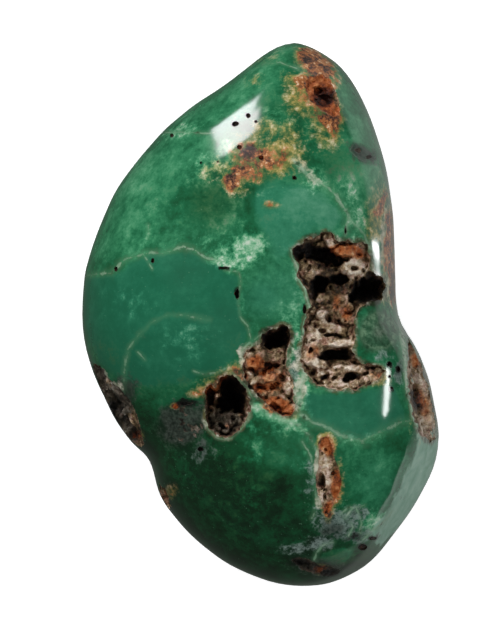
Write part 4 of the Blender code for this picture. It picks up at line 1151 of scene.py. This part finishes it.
def make_floor():
    """A pale floor. The camera sees it evenly white, and the stone mirrors it brightly on the right alone."""
    bpy.ops.mesh.primitive_plane_add(size=FLOOR_SIZE, location=(0, 0, -FLOOR_GAP * MM))
    floor = bpy.context.object
    floor.name = "floor"
    g = Graph("floor")
    place = g.node("ShaderNodeSeparateXYZ", sockets={0: g.value(g.node("ShaderNodeTexCoord"), "Object")})
    x, y = g.value(place, "X"), g.value(place, "Y")
    beside = g.step(0.0, 0.05, x) * g.step(0.0, 0.05, -0.3 * x - y) * g.step(-0.01, 0.03, 1.1 * x + y)
    upper = g.step(-0.02, 0.01, y) * 0.25 + 0.25
    right = g.step(0.0, 0.05, x) * g.step(0.26, 0.07, x) * upper + beside
    mirrored = g.mix(right, (0.05, 0.06, 0.05, 1), (1.0, 1.0, 1.0, 1))
    seen = g.value(g.node("ShaderNodeLightPath"), "Is Camera Ray")
    matt = g.node("ShaderNodeBsdfPrincipled", sockets={"Base Color": (0.8, 0.8, 0.8, 1), "Roughness": 0.9})
    glow = g.node("ShaderNodeEmission", sockets={"Color": (1, 1, 1, 1), "Strength": 0.75})
    pale = g.node("ShaderNodeAddShader", sockets={0: g.value(matt), 1: g.value(glow)})
    card = g.node("ShaderNodeEmission", sockets={"Color": mirrored, "Strength": 1.5})
    shader = g.node("ShaderNodeMixShader", sockets={0: seen, 1: g.value(card), 2: g.value(pale)})
    g.node("ShaderNodeOutputMaterial", sockets={"Surface": g.value(shader)})
    floor.data.materials.append(g.material)


def make_world():
    """A dim room."""
    world = bpy.data.worlds.new("studio")
    bpy.context.scene.world = world
    world.use_nodes = True
    sky = world.node_tree.nodes["Background"]
    sky.inputs["Color"].default_value = (0.9, 0.95, 1.0, 1)
    sky.inputs["Strength"].default_value = 0.09


def area_light(name, size, power, place, facing):
    data = bpy.data.lights.new(name, "AREA")
    data.shape, data.size, data.size_y, data.energy = "RECTANGLE", *size, power
    lamp = bpy.data.objects.new(name, data)
    lamp.location, lamp.rotation_euler = place, facing.to_euler()
    bpy.context.scene.collection.objects.link(lamp)
    return lamp


def fill_light(name, place, size, power):
    """A large soft light that isn't mirrored in the polish."""
    lamp = area_light(name, (size, size), power, place, Vector(place).to_track_quat("Z", "Y"))
    lamp.visible_glossy = False


def softbox(name, skin_tree, px, py, distance, size, turn, power, shift=(0, 0)):
    """A soft light placed so that the polished skin mirrors it to the camera from one place in the photograph.

    The shift then moves it in its own plane.
    """
    x, y = to_mm(px, py)
    start = Vector((x, y, 2 * THICKNESS)) * MM
    place, normal = skin_tree.ray_cast(start, Vector((0, 0, -1)))[:2]
    upward = Vector((0, 0, 1))
    away = (2 * normal.dot(upward) * normal - upward).normalized()
    facing = away.to_track_quat("Z", "Y") @ Quaternion((0, 0, 1), math.radians(turn))
    return area_light(name, size, power, place + away * distance + facing @ Vector((*shift, 0)), facing)


def make_camera():
    """Looks straight down on the stone, framed as in the photograph."""
    x, y = to_mm(PHOTO_WIDTH / 2, PHOTO_HEIGHT / 2)
    data = bpy.data.cameras.new("camera")
    data.sensor_width = SENSOR
    data.lens = SENSOR * CAMERA_HEIGHT / (PHOTO_HEIGHT * PIXEL)
    data.clip_end = 10
    camera = bpy.data.objects.new("camera", data)
    camera.location = Vector((x, y, GIRDLE + CAMERA_HEIGHT)) * MM
    bpy.context.scene.collection.objects.link(camera)
    bpy.context.scene.camera = camera


def make_studio(skin_tree):
    make_floor()
    make_world()
    fill_light("window_light", (-0.40, 0.62, 0.85), 0.5, 3.5)
    fill_light("ceiling_light", (0.1, -0.1, 1.1), 0.8, 6.4)
    for name, tint, size, shift in KEY_PANES:
        power = KEY_BRIGHTNESS * size[0] * size[1]
        softbox(name, skin_tree, *KEY_SPOT, size, -8, power, shift).data.color = tint
    glint = softbox("glint_light", skin_tree, *GLINT_SPOT, (0.021, 0.003), -36, 0.0042)
    wedge = softbox("wedge_light", skin_tree, *WEDGE_SPOT, (0.0012, 0.009), 0, 0.00003)
    wedge.data.spread = math.radians(30)
    for lamp in (glint, wedge):
        lamp.visible_diffuse = lamp.visible_camera = False
    make_camera()
    bpy.context.scene.view_settings.view_transform = "Standard"


make_studio(make_stone())
